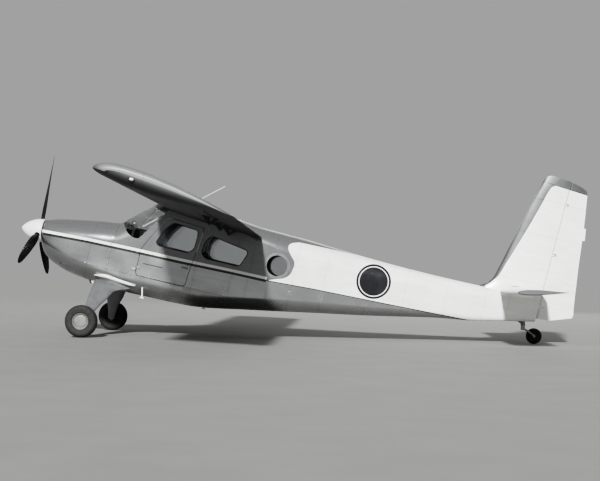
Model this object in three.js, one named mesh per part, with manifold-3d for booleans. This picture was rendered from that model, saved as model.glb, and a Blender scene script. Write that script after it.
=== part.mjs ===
// Light aircraft: high cantilever wing, three-blade propeller, tail wheel.
// Millimetres, +Z up, nose towards -X, starboard towards +Y, parked on its wheels.
// Almost every piece is drawn in the level frame: x aft of the main axle, z above it,
// with the body datum level. One group tips that frame nose-up onto the ground.

import * as THREE from 'three';
import { mergeVertices } from 'three/addons/utils/BufferGeometryUtils.js';
import Module from 'manifold-3d';

const wasm = await Module();
wasm.setup();

// Driving dimensions

const GROUND_ANGLE = 12;            // nose-up attitude at rest, degrees
const AXLE_X = -3332;               // main axle, from the middle of the overall length
const WHEEL_RADIUS = 250;
const TYRE_WIDTH = 176;
const RIM_RADIUS = 118;
const TRACK = 2740;
const SEAT_GAP = 0.3;               // between pieces that rest on each other
const RUN_GAP = 6;                  // between pieces that move past each other

const CABIN_HALF_WIDTH = 575;
const WALL = 30;                    // cabin side and door thickness
const COWL_WALL = 18;
const FIREWALL_X = 54;
const CABIN_END_X = 3000;
const TAIL_POST_X = 6972;
const FLOOR_Z = 700;
const FLOOR_END_X = 2150;

const CHORD = 1822;
const WING_LE = [548, 2092];        // wing leading edge at the centre line, x and z
const WING_INCIDENCE = 6.1;
const DIHEDRAL = 1;
const WING_TIP_Y = 5945;
const SLAT_SPAN = [[660, 3070], [3110, 5600]];
const FLAP_SPAN = [640, 4410];
const AILERON_SPAN = [4450, 5600];
const SLAT_REAR = 0.16;
const SLAT_TRAVEL_DOWN = 10;        // slats slide forward, this far below the chord line, degrees
const FLAP_HINGE = [0.745, -0.078];
const AILERON_HINGE = [0.78, 0.011];
const AILERON_NOSE = 0.0339;        // nose radius about the hinge, as a fraction of the chord
const END_GAP = 8;                  // beside the ends of slats, flaps and ailerons

const HUB = [-1271, 1193];          // propeller hub, x and z
const THRUST_DOWN = 4;              // thrust line, nose-down from the datum
const PROP_RADIUS = 1266;
const BLADE_START = 4.6;            // first blade, degrees from straight up
const SPINNER_RADIUS = 192;
const SPINNER_LENGTH = 364;
const BACKPLATE = [46, 54];         // spinner backplate, along the shaft from the hub

const TAILPLANE_PIVOT = [6488, 1998];
const TAILPLANE_CHORD = 744;
const TAILPLANE_HALF_SPAN = 2350;
const TAILPLANE_REST = 13;          // trailing edge up when parked
const TORQUE_TUBE_RADIUS = 32;

const TAIL_WHEEL_RADIUS = 127;
const TAIL_RIM_RADIUS = 56;
const TAIL_SWIVEL_X = 6966;         // from the main axle, along the ground
const TAIL_WHEEL_X = 7144;

// Materials

function finish(color, roughness, metalness, opacity = 1) {
  return new THREE.MeshStandardMaterial({
    color, roughness, metalness, opacity, transparent: opacity < 1,
  });
}

const silverPaint = finish(0x9a9c9e, 0.35, 0.4);
const whitePaint = finish(0xeceeee, 0.4, 0.0);
const wingGrey = finish(0x8f9193, 0.4, 0.3);
const blackPaint = finish(0x151515, 0.5, 0.0);
const tyreRubber = finish(0x2b2a28, 0.85, 0.0);
const wheelPaint = finish(0xb8b8b6, 0.5, 0.2);
const bareSteel = finish(0x77797b, 0.4, 0.8);
const castMetal = finish(0x5b5d5f, 0.6, 0.7);
const clearGlass = finish(0xaeb8bc, 0.08, 0.0, 0.35);
const cabinGrey = finish(0x4c4e50, 0.7, 0.0);
const seatCloth = finish(0x3c3b39, 0.9, 0.0);

// Solid helpers

const rad = (degrees) => degrees * Math.PI / 180;
const lerp = (a, b, t) => a + (b - a) * t;

function signedVolume(geometry) {
  const p = geometry.attributes.position;
  const index = geometry.index.array;
  const a = new THREE.Vector3();
  const b = new THREE.Vector3();
  const c = new THREE.Vector3();
  let volume = 0;
  for (let i = 0; i < index.length; i += 3) {
    a.fromBufferAttribute(p, index[i]);
    b.fromBufferAttribute(p, index[i + 1]);
    c.fromBufferAttribute(p, index[i + 2]);
    volume += a.dot(b.cross(c)) / 6;
  }
  return volume;
}

// One closed solid from any three.js geometry: shared vertices, no slivers, faces out.
function solid(source) {
  const bare = source.clone();
  for (const name of Object.keys(bare.attributes)) {
    if (name !== 'position') bare.deleteAttribute(name);
  }
  const welded = mergeVertices(bare, 1e-3);
  const kept = [];
  const old = welded.index.array;
  for (let i = 0; i < old.length; i += 3) {
    const [a, b, c] = [old[i], old[i + 1], old[i + 2]];
    if (a !== b && b !== c && c !== a) kept.push(a, b, c);
  }
  welded.setIndex(kept);
  if (signedVolume(welded) < 0) {
    for (let i = 0; i < kept.length; i += 3) [kept[i], kept[i + 1]] = [kept[i + 1], kept[i]];
    welded.setIndex(kept);
  }
  return new wasm.Manifold(new wasm.Mesh({
    numProp: 3,
    vertProperties: new Float32Array(welded.attributes.position.array),
    triVerts: new Uint32Array(welded.index.array),
  }));
}

function geometryOf(body) {
  const mesh = body.getMesh();
  const geometry = new THREE.BufferGeometry();
  geometry.setAttribute('position', new THREE.BufferAttribute(mesh.vertProperties, 3));
  geometry.setIndex(new THREE.BufferAttribute(mesh.triVerts, 1));
  geometry.computeVertexNormals();
  return geometry;
}

function joined(...bodies) {
  return bodies.reduce((sum, body) => sum.add(body));
}

function without(body, ...cutters) {
  return cutters.reduce((rest, cutter) => rest.subtract(cutter), body);
}

// A closed skin through rings of the same number of points, each ring [x, y, z] points.
function loft(rings) {
  const count = rings[0].length;
  const points = rings.flat();
  const faces = [];
  for (let r = 0; r < rings.length - 1; r += 1) {
    for (let i = 0; i < count; i += 1) {
      const j = (i + 1) % count;
      const a = r * count + i;
      const b = r * count + j;
      faces.push(a, b, b + count, a, b + count, a + count);
    }
  }
  const cap = (ring, start, flip) => {
    const middle = [0, 1, 2].map((k) => ring.reduce((sum, p) => sum + p[k], 0) / count);
    points.push(middle);
    const hub = points.length - 1;
    for (let i = 0; i < count; i += 1) {
      const j = (i + 1) % count;
      if (flip) faces.push(hub, start + i, start + j);
      else faces.push(hub, start + j, start + i);
    }
  };
  cap(rings[0], 0, false);
  cap(rings[rings.length - 1], (rings.length - 1) * count, true);
  const geometry = new THREE.BufferGeometry();
  geometry.setAttribute('position', new THREE.Float32BufferAttribute(points.flat(), 3));
  geometry.setIndex(faces);
  return solid(geometry);
}

// A side-view outline of [x, z] points, carried across from y0 to y1.
function sidePrism(outline, y0, y1) {
  const shape = new THREE.Shape(outline.map(([x, z]) => new THREE.Vector2(x, z)));
  const geometry = new THREE.ExtrudeGeometry(shape, { depth: y1 - y0, bevelEnabled: false });
  geometry.rotateX(Math.PI / 2);
  geometry.translate(0, y1, 0);
  return solid(geometry);
}

function box(x0, x1, y0, y1, z0, z1) {
  const geometry = new THREE.BoxGeometry(x1 - x0, y1 - y0, z1 - z0);
  geometry.translate((x0 + x1) / 2, (y0 + y1) / 2, (z0 + z1) / 2);
  return solid(geometry);
}

// A solid of revolution about Y through the origin, from [radius, y] points.
function turned(profile, segments = 36) {
  const points = profile.map(([r, y]) => new THREE.Vector2(r, y));
  return solid(new THREE.LatheGeometry(points, segments));
}

// A round bar between two points.
function bar(from, to, radius, endRadius = radius, sides = 12) {
  const a = new THREE.Vector3(...from);
  const b = new THREE.Vector3(...to);
  const geometry = new THREE.CylinderGeometry(endRadius, radius, a.distanceTo(b), sides);
  const turn = new THREE.Quaternion().setFromUnitVectors(
    new THREE.Vector3(0, 1, 0), b.clone().sub(a).normalize());
  geometry.applyQuaternion(turn);
  geometry.translate(...a.clone().add(b).multiplyScalar(0.5).toArray());
  return solid(geometry);
}

// Points of an outline with each corner rounded to a radius.
function rounded(outline, radius, steps = 3) {
  const points = [];
  const count = outline.length;
  for (let i = 0; i < count; i += 1) {
    const corner = new THREE.Vector2(...outline[i]);
    const before = new THREE.Vector2(...outline[(i + count - 1) % count]);
    const after = new THREE.Vector2(...outline[(i + 1) % count]);
    const reach = Math.min(radius, corner.distanceTo(before) * 0.45, corner.distanceTo(after) * 0.45);
    const start = corner.clone().add(before.sub(corner).setLength(reach));
    const end = corner.clone().add(after.sub(corner).setLength(reach));
    for (let s = 0; s <= steps; s += 1) {
      const t = s / steps;
      const p = start.clone().lerp(corner, t).lerp(corner.clone().lerp(end, t), t);
      points.push([p.x, p.y]);
    }
  }
  return points;
}

// An outline moved outwards by a distance, or inwards by a negative one.
function offset(outline, distance) {
  const area = outline.reduce((sum, [x, z], i) => {
    const [nx, nz] = outline[(i + 1) % outline.length];
    return sum + (x * nz - nx * z) / 2;
  }, 0);
  const side = Math.sign(area) * distance;
  return outline.map(([x, z], i) => {
    const [px, pz] = outline[(i + outline.length - 1) % outline.length];
    const [nx, nz] = outline[(i + 1) % outline.length];
    const into = new THREE.Vector2(x - px, z - pz).normalize();
    const out = new THREE.Vector2(nx - x, nz - z).normalize();
    const normal = new THREE.Vector2(into.y + out.y, -into.x - out.x);
    const scale = 2 / normal.lengthSq();
    return [x + normal.x * side * scale, z + normal.y * side * scale];
  });
}

// Body: one table of stations for cowl, cabin and tail boom

// x, bottom, top, half width, bottom corner width and height, top corner width and height
const STATIONS = [
  [-1198, 1096, 1380, 198, 177, 128, 177, 128],
  [-1168, 1000, 1388, 318, 290, 180, 280, 170],
  [-1098, 862, 1415, 412, 370, 250, 360, 230],
  [-992, 771, 1444, 462, 410, 300, 400, 270],
  [-840, 704, 1475, 492, 420, 310, 410, 290],
  [-620, 637, 1514, 520, 410, 300, 410, 300],
  [-294, 590, 1569, 548, 390, 280, 400, 310],
  [54, 556, 1621, 566, 370, 260, 390, 320],
  [170, 548, 1728, 572, 360, 255, 380, 380],
  [300, 541, 1836, 575, 350, 250, 350, 400],
  [460, 540, 1968, 575, 340, 250, 310, 380],
  [560, 541, 2054, 575, 340, 250, 280, 300],
  [700, 544, 2132, 575, 340, 250, 250, 220],
  [900, 546, 2178, 575, 340, 250, 240, 180],
  [1400, 557, 2183, 575, 340, 250, 240, 170],
  [1700, 588, 2146, 575, 340, 245, 250, 170],
  [2035, 648, 2095, 575, 340, 240, 280, 190],
  [2300, 699, 2068, 566, 330, 230, 330, 230],
  [2700, 772, 2056, 536, 310, 220, 370, 290],
  [3000, 828, 2048, 498, 290, 210, 380, 320],
  [3500, 923, 2020, 424, 250, 190, 350, 320],
  [4215, 1052, 1981, 330, 195, 165, 290, 290],
  [4800, 1170, 1963, 262, 155, 140, 235, 260],
  [5467, 1303, 1957, 194, 115, 120, 175, 220],
  [5928, 1372, 1962, 152, 90, 100, 138, 190],
  [6484, 1494, 1985, 104, 62, 80, 92, 150],
  [TAIL_POST_X, 1596, 2010, 52, 34, 50, 44, 110],
];
const CORNER_STEPS = 5;

function stationAt(x) {
  const last = STATIONS.length - 1;
  if (x <= STATIONS[0][0]) return STATIONS[0];
  if (x >= STATIONS[last][0]) return STATIONS[last];
  const i = STATIONS.findIndex((row) => row[0] > x) - 1;
  const t = (x - STATIONS[i][0]) / (STATIONS[i + 1][0] - STATIONS[i][0]);
  return STATIONS[i].map((value, k) => lerp(value, STATIONS[i + 1][k], t));
}

// One cross-section, pulled in by inset all round, with an optional flat floor.
function bodyRing(x, inset, floor = -Infinity) {
  const [, low, high, half, cw, ch, tw, th] = stationAt(x);
  const bottom = Math.max(low + inset, floor);
  const top = high - inset;
  const width = half - inset;
  const bottomWidth = floor > low + inset ? 95 : Math.max(cw - inset, 8);
  const bottomHeight = floor > low + inset ? 95 : Math.max(ch - inset, 8);
  const topWidth = Math.max(tw - inset, 8);
  const topHeight = Math.max(th - inset, 8);
  const flank = [];
  for (let s = 0; s <= CORNER_STEPS; s += 1) {
    const a = s / CORNER_STEPS * Math.PI / 2;
    flank.push([width - bottomWidth * (1 - Math.sin(a)), bottom + bottomHeight * (1 - Math.cos(a))]);
  }
  for (let s = 0; s <= CORNER_STEPS; s += 1) {
    const a = s / CORNER_STEPS * Math.PI / 2;
    flank.push([width - topWidth * (1 - Math.cos(a)), top - topHeight * (1 - Math.sin(a))]);
  }
  const right = flank.map(([y, z]) => [x, y, z]);
  const left = flank.map(([y, z]) => [x, -y, z]).reverse();
  return [...right, ...left];
}

function bodyLoft(x0, x1, inset, floor) {
  const inside = STATIONS.map((row) => row[0]).filter((x) => x > x0 + 1 && x < x1 - 1);
  return loft([x0, ...inside, x1].map((x) => bodyRing(x, inset, floor)));
}

// A point on the propeller shaft's line, at a distance aft of the hub.
function onShaft(distance) {
  const a = rad(THRUST_DOWN);
  return [HUB[0] + distance * Math.cos(a), 0, HUB[1] + distance * Math.sin(a)];
}

function cowling() {
  const outside = bodyLoft(STATIONS[0][0], FIREWALL_X - SEAT_GAP, 0);
  const inside = bodyLoft(STATIONS[1][0] + COWL_WALL, FIREWALL_X + 20, COWL_WALL);
  const shaftHole = bar(onShaft(0), onShaft(180), 110, 110, 24);
  const intakes = [-1, 1].map((side) => {
    const geometry = new THREE.CylinderGeometry(74, 74, 260, 20);
    geometry.rotateZ(Math.PI / 2);
    geometry.scale(1, 1.15, 0.9);
    geometry.translate(-1150, side * 262, 1215);
    return solid(geometry);
  });
  return without(outside, inside, shaftHole, ...intakes);
}

function engineBlock() {
  const block = box(-1000, -300, -370, 370, 960, 1285);
  const nose = bar(onShaft(BACKPLATE[1] + 0.5), onShaft(330), 74, 130, 20);
  const mounts = [[-300, 1000], [-300, 1270], [300, 1000], [300, 1270]].map(([y, z]) => bar(
    [-320, y, z], [FIREWALL_X - SEAT_GAP, y, z], 18, 18, 8));
  return joined(block, nose, ...mounts);
}

// Openings in the cabin, side view

const WINDSHIELD = [
  [FIREWALL_X + 14, 1700], [FIREWALL_X + 14, 1664], [100, 1634], [140, 1590], [172, 1550], [205, 1510],
  [250, 1468], [320, 1430], [400, 1419], [445, 1428], [550, 1571], [628, 1697], [690, 1778],
  [752, 1858], [782, 1922], [758, 1948], [560, 2006], [524, 2030], [500, 2060],
];
const FRONT_DOOR = [
  [520, 860], [520, 1290], [722, 1690], [855, 1879], [1436, 1838], [1420, 1655], [1382, 1330],
  [1350, 1100], [1340, 860],
];
const FRONT_WINDOW = [
  [725, 1452], [828, 1675], [935, 1815], [1345, 1780], [1362, 1700], [1350, 1470], [1262, 1395], [770, 1400],
];
const REAR_WINDOW = [
  [1478, 1440], [1495, 1630], [1580, 1748], [2180, 1652], [2208, 1600], [2130, 1392], [2085, 1372],
  [1560, 1372],
];
const REAR_DOOR = [
  [1440, 880], [1436, 1690], [1540, 1812], [2205, 1712], [2245, 1620], [2165, 1340], [2040, 940], [1990, 880],
];
const ROUND_WINDOW = [2706, 1522];
const ROUND_WINDOW_RADIUS = 172;
const GLASS_THICKNESS = 6;
const GLASS_SET_BACK = 5;

function circle([x, z], radius, steps = 28) {
  return Array.from({ length: steps }, (_, i) => {
    const a = i / steps * 2 * Math.PI;
    return [x + radius * Math.cos(a), z + radius * Math.sin(a)];
  });
}

// The belly under the cabin floor, grown at its top and rear by a gap.
function bellyRoom(gap) {
  const half = CABIN_HALF_WIDTH + 50;
  return box(FIREWALL_X - 50, FLOOR_END_X + gap, -half, half, 300, FLOOR_Z + gap);
}

function cabinFloor() {
  return bodyLoft(FIREWALL_X, CABIN_END_X, 0).intersect(bellyRoom(0));
}

function cabinShell() {
  const outside = bodyLoft(FIREWALL_X, CABIN_END_X, 0);
  const inside = bodyLoft(FIREWALL_X + WALL, CABIN_END_X - WALL, WALL, FLOOR_Z);
  const out = CABIN_HALF_WIDTH + 50;
  const deep = CABIN_HALF_WIDTH - WALL - 60;
  const hinges = [[FRONT_DOOR, -1], [REAR_DOOR, 1]].flatMap(([outline, side]) => (
    DOOR_HINGES_Z[side > 0 ? 1 : 0].map((z) => doorHinge(hingeLine(outline), z, side, false))));
  const open = without(
    outside, inside, bellyRoom(SEAT_GAP),
    sidePrism(WINDSHIELD, -out, out),
    sidePrism(rounded(offset(FRONT_DOOR, RUN_GAP), 60), -out, -deep),
    sidePrism(rounded(REAR_WINDOW, 60), -out, -deep),
    sidePrism(rounded(FRONT_WINDOW, 60), deep, out),
    sidePrism(rounded(offset(REAR_DOOR, RUN_GAP), 60), deep, out),
    sidePrism(circle(ROUND_WINDOW, ROUND_WINDOW_RADIUS), -out, out),
  );
  return joined(open, ...hinges);
}

function windshield() {
  const pane = without(
    bodyLoft(FIREWALL_X + 4, 900, GLASS_SET_BACK),
    bodyLoft(FIREWALL_X - 10, 910, GLASS_SET_BACK + GLASS_THICKNESS),
  );
  return pane.intersect(sidePrism(offset(WINDSHIELD, -0.5), -600, 600));
}

// A flat pane in a cabin side, y from the middle outwards on the given side.
function sidePane(outline, side, edge = 60) {
  const outer = CABIN_HALF_WIDTH - GLASS_SET_BACK;
  const inner = outer - GLASS_THICKNESS;
  const [y0, y1] = side > 0 ? [inner, outer] : [-outer, -inner];
  return sidePrism(rounded(offset(outline, -0.5), edge), y0, y1);
}

function roundPane(side) {
  const pane = without(
    bodyLoft(2400, 2980, GLASS_SET_BACK),
    bodyLoft(2390, 2990, GLASS_SET_BACK + GLASS_THICKNESS),
  );
  const reach = side > 0 ? [200, 620] : [-620, -200];
  return pane.intersect(sidePrism(circle(ROUND_WINDOW, ROUND_WINDOW_RADIUS - 0.5), ...reach));
}

const DOOR_HINGE_OUT = 10;           // hinge line outside the skin
const DOOR_HINGES_Z = [[960, 1220], [960, 1420]];
const KNUCKLE = 40;

// Knuckle and leaf of one door hinge; the door's half sits on the body's half.
function doorHinge(x, z, side, onDoor) {
  const y = side * (CABIN_HALF_WIDTH + DOOR_HINGE_OUT);
  const [z0, z1] = onDoor ? [z + 0.5, z + KNUCKLE] : [z - KNUCKLE, z];
  const out = onDoor ? 1 : -1;
  const slab = (near, far, inner, outer) => {
    const [x0, x1] = [x + out * near, x + out * far].sort((a, b) => a - b);
    const [y0, y1] = [side * inner, side * outer].sort((a, b) => a - b);
    return box(x0, x1, y0, y1, z0, z1);
  };
  const leaf = slab(0, 70, CABIN_HALF_WIDTH + SEAT_GAP, CABIN_HALF_WIDTH + DOOR_HINGE_OUT - 2);
  const pad = slab(26, 66, CABIN_HALF_WIDTH - 2, CABIN_HALF_WIDTH + 2);
  return joined(bar([x, y, z0], [x, y, z1], 8, 8, 12), leaf, pad);
}

// Where each door's hinge line stands: 10 mm ahead of its foremost edge.
const hingeLine = (outline) => Math.min(...outline.map(([x]) => x)) - 10;

function door(outline, window, side) {
  const [y0, y1] = side > 0
    ? [CABIN_HALF_WIDTH - WALL, CABIN_HALF_WIDTH]
    : [-CABIN_HALF_WIDTH, -CABIN_HALF_WIDTH + WALL];
  const panel = without(
    sidePrism(rounded(outline, 60), y0, y1),
    sidePrism(rounded(window, 60), y0 - 10, y1 + 10),
  );
  const x = hingeLine(outline);
  return joined(panel, ...DOOR_HINGES_Z[side > 0 ? 1 : 0].map((z) => doorHinge(x, z, side, true)));
}

// Wing: one constant section, carried out along the dihedral

// chord fraction, upper and lower height as fractions of the chord
const AIRFOIL = [
  [0, 0, 0], [0.006, 0.019, -0.009], [0.02, 0.034, -0.016], [0.05, 0.051, -0.0226], [0.1, 0.068, -0.0292],
  [0.17, 0.0795, -0.037], [0.25, 0.0845, -0.0428], [0.35, 0.086, -0.0449], [0.5, 0.079, -0.0417],
  [0.65, 0.0635, -0.0335], [0.8, 0.0425, -0.0216], [0.9, 0.024, -0.0123], [1, 0.003, -0.0013],
];

function surfaceAt(t, side) {
  const i = Math.max(1, AIRFOIL.findIndex((row) => row[0] >= t));
  const [t0, u0, l0] = AIRFOIL[i - 1];
  const [t1, u1, l1] = AIRFOIL[i];
  const k = (t - t0) / (t1 - t0);
  return side > 0 ? lerp(u0, u1, k) : lerp(l0, l1, k);
}

// From chord fractions to level-frame x and z at a distance y from the middle.
function onWing([u, v], y) {
  const a = rad(WING_INCIDENCE);
  const x = WING_LE[0] + CHORD * (u * Math.cos(a) + v * Math.sin(a));
  const z = WING_LE[1] + CHORD * (v * Math.cos(a) - u * Math.sin(a));
  return [x, y, z + Math.abs(y) * Math.tan(rad(DIHEDRAL))];
}

function airfoilOutline() {
  const upper = AIRFOIL.map(([t, u]) => [t, u]).reverse();
  const lower = AIRFOIL.slice(1).map(([t, , l]) => [t, l]);
  return [...upper, ...lower];
}

// A slice of the wing's span with the given outline in chord fractions.
function spanPiece(outline, y0, y1) {
  const a = rad(WING_INCIDENCE);
  const flat = outline.map(([u, v]) => [
    WING_LE[0] + CHORD * (u * Math.cos(a) + v * Math.sin(a)),
    WING_LE[1] + CHORD * (v * Math.cos(a) - u * Math.sin(a)),
  ]);
  const shape = new THREE.Shape(flat.map(([x, z]) => new THREE.Vector2(x, z)));
  const geometry = new THREE.ExtrudeGeometry(shape, { depth: Math.abs(y1 - y0), bevelEnabled: false });
  geometry.rotateX(Math.PI / 2);
  geometry.translate(0, Math.max(y0, y1), 0);
  const p = geometry.attributes.position;
  for (let i = 0; i < p.count; i += 1) {
    p.setZ(i, p.getZ(i) + Math.abs(p.getY(i)) * Math.tan(rad(DIHEDRAL)));
  }
  return solid(geometry);
}

// The fixed nose behind the slats, from the upper skin round to the lower skin.
const FIXED_NOSE = [
  [SLAT_REAR + 0.006, 0.0775], [0.14, 0.062], [0.105, 0.045], [0.07, 0.025], [0.046, 0.006],
  [0.038, -0.006], [0.046, -0.0165], [0.075, -0.0262],
];

// chord fractions of the slotted flap's nose, upper skin to lower skin
const FLAP_NOSE = [
  [0.82, 0.0385], [0.785, 0.034], [0.755, 0.022], [0.742, 0.004], [0.746, -0.012], [0.765, -0.0236],
];

function flapOutline() {
  return [...FLAP_NOSE, [0.9, -0.0123], [1, -0.0013], [1, 0.003], [0.9, 0.024]];
}

function slatOutline() {
  const behind = offset([...FIXED_NOSE, [0.3, -0.043], [0.3, 0.085]], RUN_GAP / CHORD);
  const outer = [
    [SLAT_REAR, surfaceAt(SLAT_REAR, 1)], [0.1, 0.068], [0.05, 0.051], [0.02, 0.034], [0.006, 0.019],
    [0, 0], [0.006, -0.009], [0.02, -0.016], [0.05, -0.0226],
  ];
  return [...outer, ...behind.slice(1, 7).reverse()];
}

// A straight slat track: a flat bar on the slat that runs into a slot in the wing nose.
function slatTrack(y, grow) {
  const a = rad(WING_INCIDENCE - SLAT_TRAVEL_DOWN);
  const [x, , z] = onWing([0.012, 0.003], y);
  const bars = box(-grow, 250 + grow, y - 8 - grow, y + 8 + grow, z - 11 - grow, z + 11 + grow);
  const pivot = [x, 0, z];
  return bars.translate([0, 0, -pivot[2]]).rotate([0, a * 180 / Math.PI, 0]).translate(pivot);
}

const trackPlaces = ([inner, outer]) => [0.18, 0.82].map((t) => lerp(inner, outer, t));

function slat(span, side) {
  const tracks = trackPlaces(span).map((y) => slatTrack(side * y, 0));
  return joined(spanPiece(slatOutline(), side * span[0], side * span[1]), ...tracks);
}

function aileronNose() {
  const [hu, hv] = AILERON_HINGE;
  const [first, last] = [82, 274];
  const steps = 8;
  return Array.from({ length: steps + 1 }, (_, i) => {
    const a = rad(lerp(first, last, i / steps));
    return [hu + AILERON_NOSE * Math.cos(a), hv + AILERON_NOSE * Math.sin(a)];
  });
}

function aileronOutline() {
  return [...aileronNose(), [0.9, -0.0123], [1, -0.0013], [1, 0.003], [0.9, 0.024]];
}

function slatCut() {
  return [[SLAT_REAR + 0.006, 0.12], ...FIXED_NOSE, [0.075, -0.06], [-0.05, -0.06], [-0.05, 0.12]];
}

const FLAP_BRACKETS = [0.1, 0.5, 0.9];

// A bearing boss on a hinge line of the wing, from one span station to another.
function boss(hinge, y0, y1, side, radius) {
  return bar(onWing(hinge, side * y0), onWing(hinge, side * y1), radius, radius, 14);
}

// The two halves of one flap hinge: an arm under the wing and an arm under the flap.
function flapArm(y, side, onFlap) {
  const [hu, hv] = FLAP_HINGE;
  const r = 0.0075;
  const outline = onFlap
    ? [[hu - r, hv], [hu + r, hv - r * 0.4], [0.81, -0.014], [0.778, -0.01]]
    : [[hu, hv - r], [hu + r, hv], [0.731, -0.024], [0.66, -0.026]];
  const [y0, y1] = onFlap ? [y + 8, y + 16] : [y - 16, y - 8];
  const boss0 = onFlap ? [y + 0.3, y + 16] : [y - 16, y - 0.3];
  return joined(spanPiece(outline, side * y0, side * y1), boss(FLAP_HINGE, ...boss0, side, 14));
}

const flapArms = (side, onFlap) => FLAP_BRACKETS.map((t) => flapArm(lerp(...FLAP_SPAN, t), side, onFlap));

function flap(side) {
  return joined(spanPiece(flapOutline(), side * FLAP_SPAN[0], side * FLAP_SPAN[1]), ...flapArms(side, true));
}

function aileron(side) {
  return spanPiece(aileronOutline(), side * AILERON_SPAN[0], side * AILERON_SPAN[1]);
}

// Stub pins in the wing that the aileron's two ends turn on.
function aileronPins(side) {
  const [inner, outer] = AILERON_SPAN;
  const near = SEAT_GAP * 2;
  return [
    boss(AILERON_HINGE, inner - END_GAP - 2, inner - near, side, 10),
    boss(AILERON_HINGE, outer + near, outer + END_GAP + 2, side, 10),
  ];
}

function wing(side) {
  const outline = airfoilOutline();
  const root = CABIN_HALF_WIDTH + SEAT_GAP;
  const straight = WING_TIP_Y - 190;
  // distance from the tip cap's start, shrink of thickness, forward edge, rear edge
  const tip = [[0, 1, 0, 1], [90, 0.89, 0.01, 0.994], [150, 0.66, 0.036, 0.98], [190, 0.26, 0.1, 0.945]];
  const rings = [
    outline.map((p) => onWing(p, side * root)),
    ...tip.map(([out, thick, front, rear]) => outline.map(([u, v]) => {
      const lift = 0.012 * (1 - thick);
      return onWing([lerp(front, rear, u), v * thick + lift], side * (straight + out));
    })),
  ];
  let body = loft(rings);
  for (const [inner, outer] of SLAT_SPAN) {
    body = body.subtract(spanPiece(slatCut(), side * (inner - END_GAP), side * (outer + END_GAP)));
  }
  const moving = [[flapOutline(), FLAP_SPAN], [aileronOutline(), AILERON_SPAN]];
  const rooms = moving.map(([shape, span]) => spanPiece(
    offset(shape, RUN_GAP / CHORD), side * (span[0] - END_GAP), side * (span[1] + END_GAP)));
  const slots = SLAT_SPAN.flatMap(trackPlaces).map((y) => slatTrack(side * y, 0.6));
  return joined(without(body, ...rooms, ...slots), ...flapArms(side, false), ...aileronPins(side));
}

// Tail

const RUDDER_HINGE = [[7022, 1640], [7070, 3940]];      // x and z, bottom and top
const hingeX = (z) => lerp(RUDDER_HINGE[0][0], RUDDER_HINGE[1][0],
  (z - RUDDER_HINGE[0][1]) / (RUDDER_HINGE[1][1] - RUDDER_HINGE[0][1]));

// height, leading edge, trailing edge, greatest half thickness
const FIN = [
  [1930, 5880, 7543, 62], [1990, 6002, 7537, 62], [2045, 6080, 7530, 62], [2110, 6142, 7522, 61],
  [2200, 6178, 7512, 60], [2360, 6219, 7495, 58], [2527, 6263, 7476, 55], [3256, 6420, 7410, 43],
  [3858, 6596, 7335, 33], [3990, 6640, 7316, 26],
];
const RUDDER_NOSE_GAP = 8;
const RUDDER_HINGES_Z = [1850, 2720, 3560];
const HINGE_NOTCH = 44;
const FIN_CAP_Z = [3861, 3808];      // cap line height at the leading edge and at the rudder

// Half thickness at a fraction of the tail surface's chord.
function tailThickness(t) {
  const k = Math.max(t, 0);
  return 10 * (0.2969 * Math.sqrt(k) - 0.126 * k - 0.3516 * k ** 2 + 0.2843 * k ** 3 - 0.1036 * k ** 4);
}

// One level ring of a tail surface between two chord fractions.
function tailRing(z, front, rear, lead, trail, half, steps) {
  const flank = [];
  for (let i = 0; i <= steps; i += 1) {
    const x = front + (rear - front) * (i / steps) ** 1.6;
    flank.push([x, Math.max(half * tailThickness((x - lead) / (trail - lead)), 3), z]);
  }
  return [...flank, ...flank.map(([x, y]) => [x, -y, z]).reverse()];
}

const FIN_SIDE = [
  [5890, 1900], [7200, 1900], [7200, 3938], [7041, 3949], [6900, 3970], [6751, 3982], [6690, 3974],
  [6640, 3945], [6602, 3887], [6560, 3700], [6200, 2300], [6100, 2040], [5890, 1950],
];
const RUDDER_SIDE = [
  [6900, 1640], [7213, 1657], [7555, 1788], [7560, 1900], [7450, 2990], [7420, 3265], [7345, 3806],
  [7335, 3856], [7233, 3902], [7120, 3933], [6900, 3960],
];

function rudderNose([z, lead, trail, half]) {
  return half * tailThickness((hingeX(z) - lead) / (trail - lead));
}

function finBody() {
  const rings = FIN.map((row) => {
    const [z, lead, trail, half] = row;
    return tailRing(z, lead, hingeX(z) - rudderNose(row) - RUDDER_NOSE_GAP, lead, trail, half, 8);
  });
  return loft(rings);
}

// A bearing lug behind the fin post at one height, with its pin on the rudder's hinge line.
function rudderHinge(z) {
  const x = hingeX(z);
  const lug = sidePrism([[x - 60, z - 12], [x + 6, z - 10], [x + 6, z + 10], [x - 60, z + 12]], -8, 8);
  const half = HINGE_NOTCH / 2 - 0.6;
  const pin = bar([hingeX(z - half), 0, z - half], [hingeX(z + half), 0, z + half], 7, 7, 12);
  return joined(lug, pin);
}

function capSplit(low) {
  const [front, rear] = [[6400, FIN_CAP_Z[0] + 16], [7700, FIN_CAP_Z[1] - 28]];
  const edge = low
    ? [[...front], [...rear], [7700, 1500], [6400, 1500]]
    : [[front[0], front[1] + SEAT_GAP], [rear[0], rear[1] + SEAT_GAP], [7700, 4200], [6400, 4200]];
  return sidePrism(edge, -200, 200);
}

function fin() {
  const boom = bodyLoft(CABIN_END_X + SEAT_GAP, TAIL_POST_X + 60, -SEAT_GAP);
  const lowPart = sidePrism([[5600, 1700], [7300, 1700], [7300, 3700], [5600, 3700]], -200, 200);
  const below = joined(capSplit(true), lowPart);
  const hinges = RUDDER_HINGES_Z.slice(1).map(rudderHinge);
  return joined(without(finBody().intersect(below), boom), ...hinges);
}

function finCap() {
  return finBody().intersect(capSplit(false)).intersect(sidePrism(FIN_SIDE, -200, 200));
}

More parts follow.
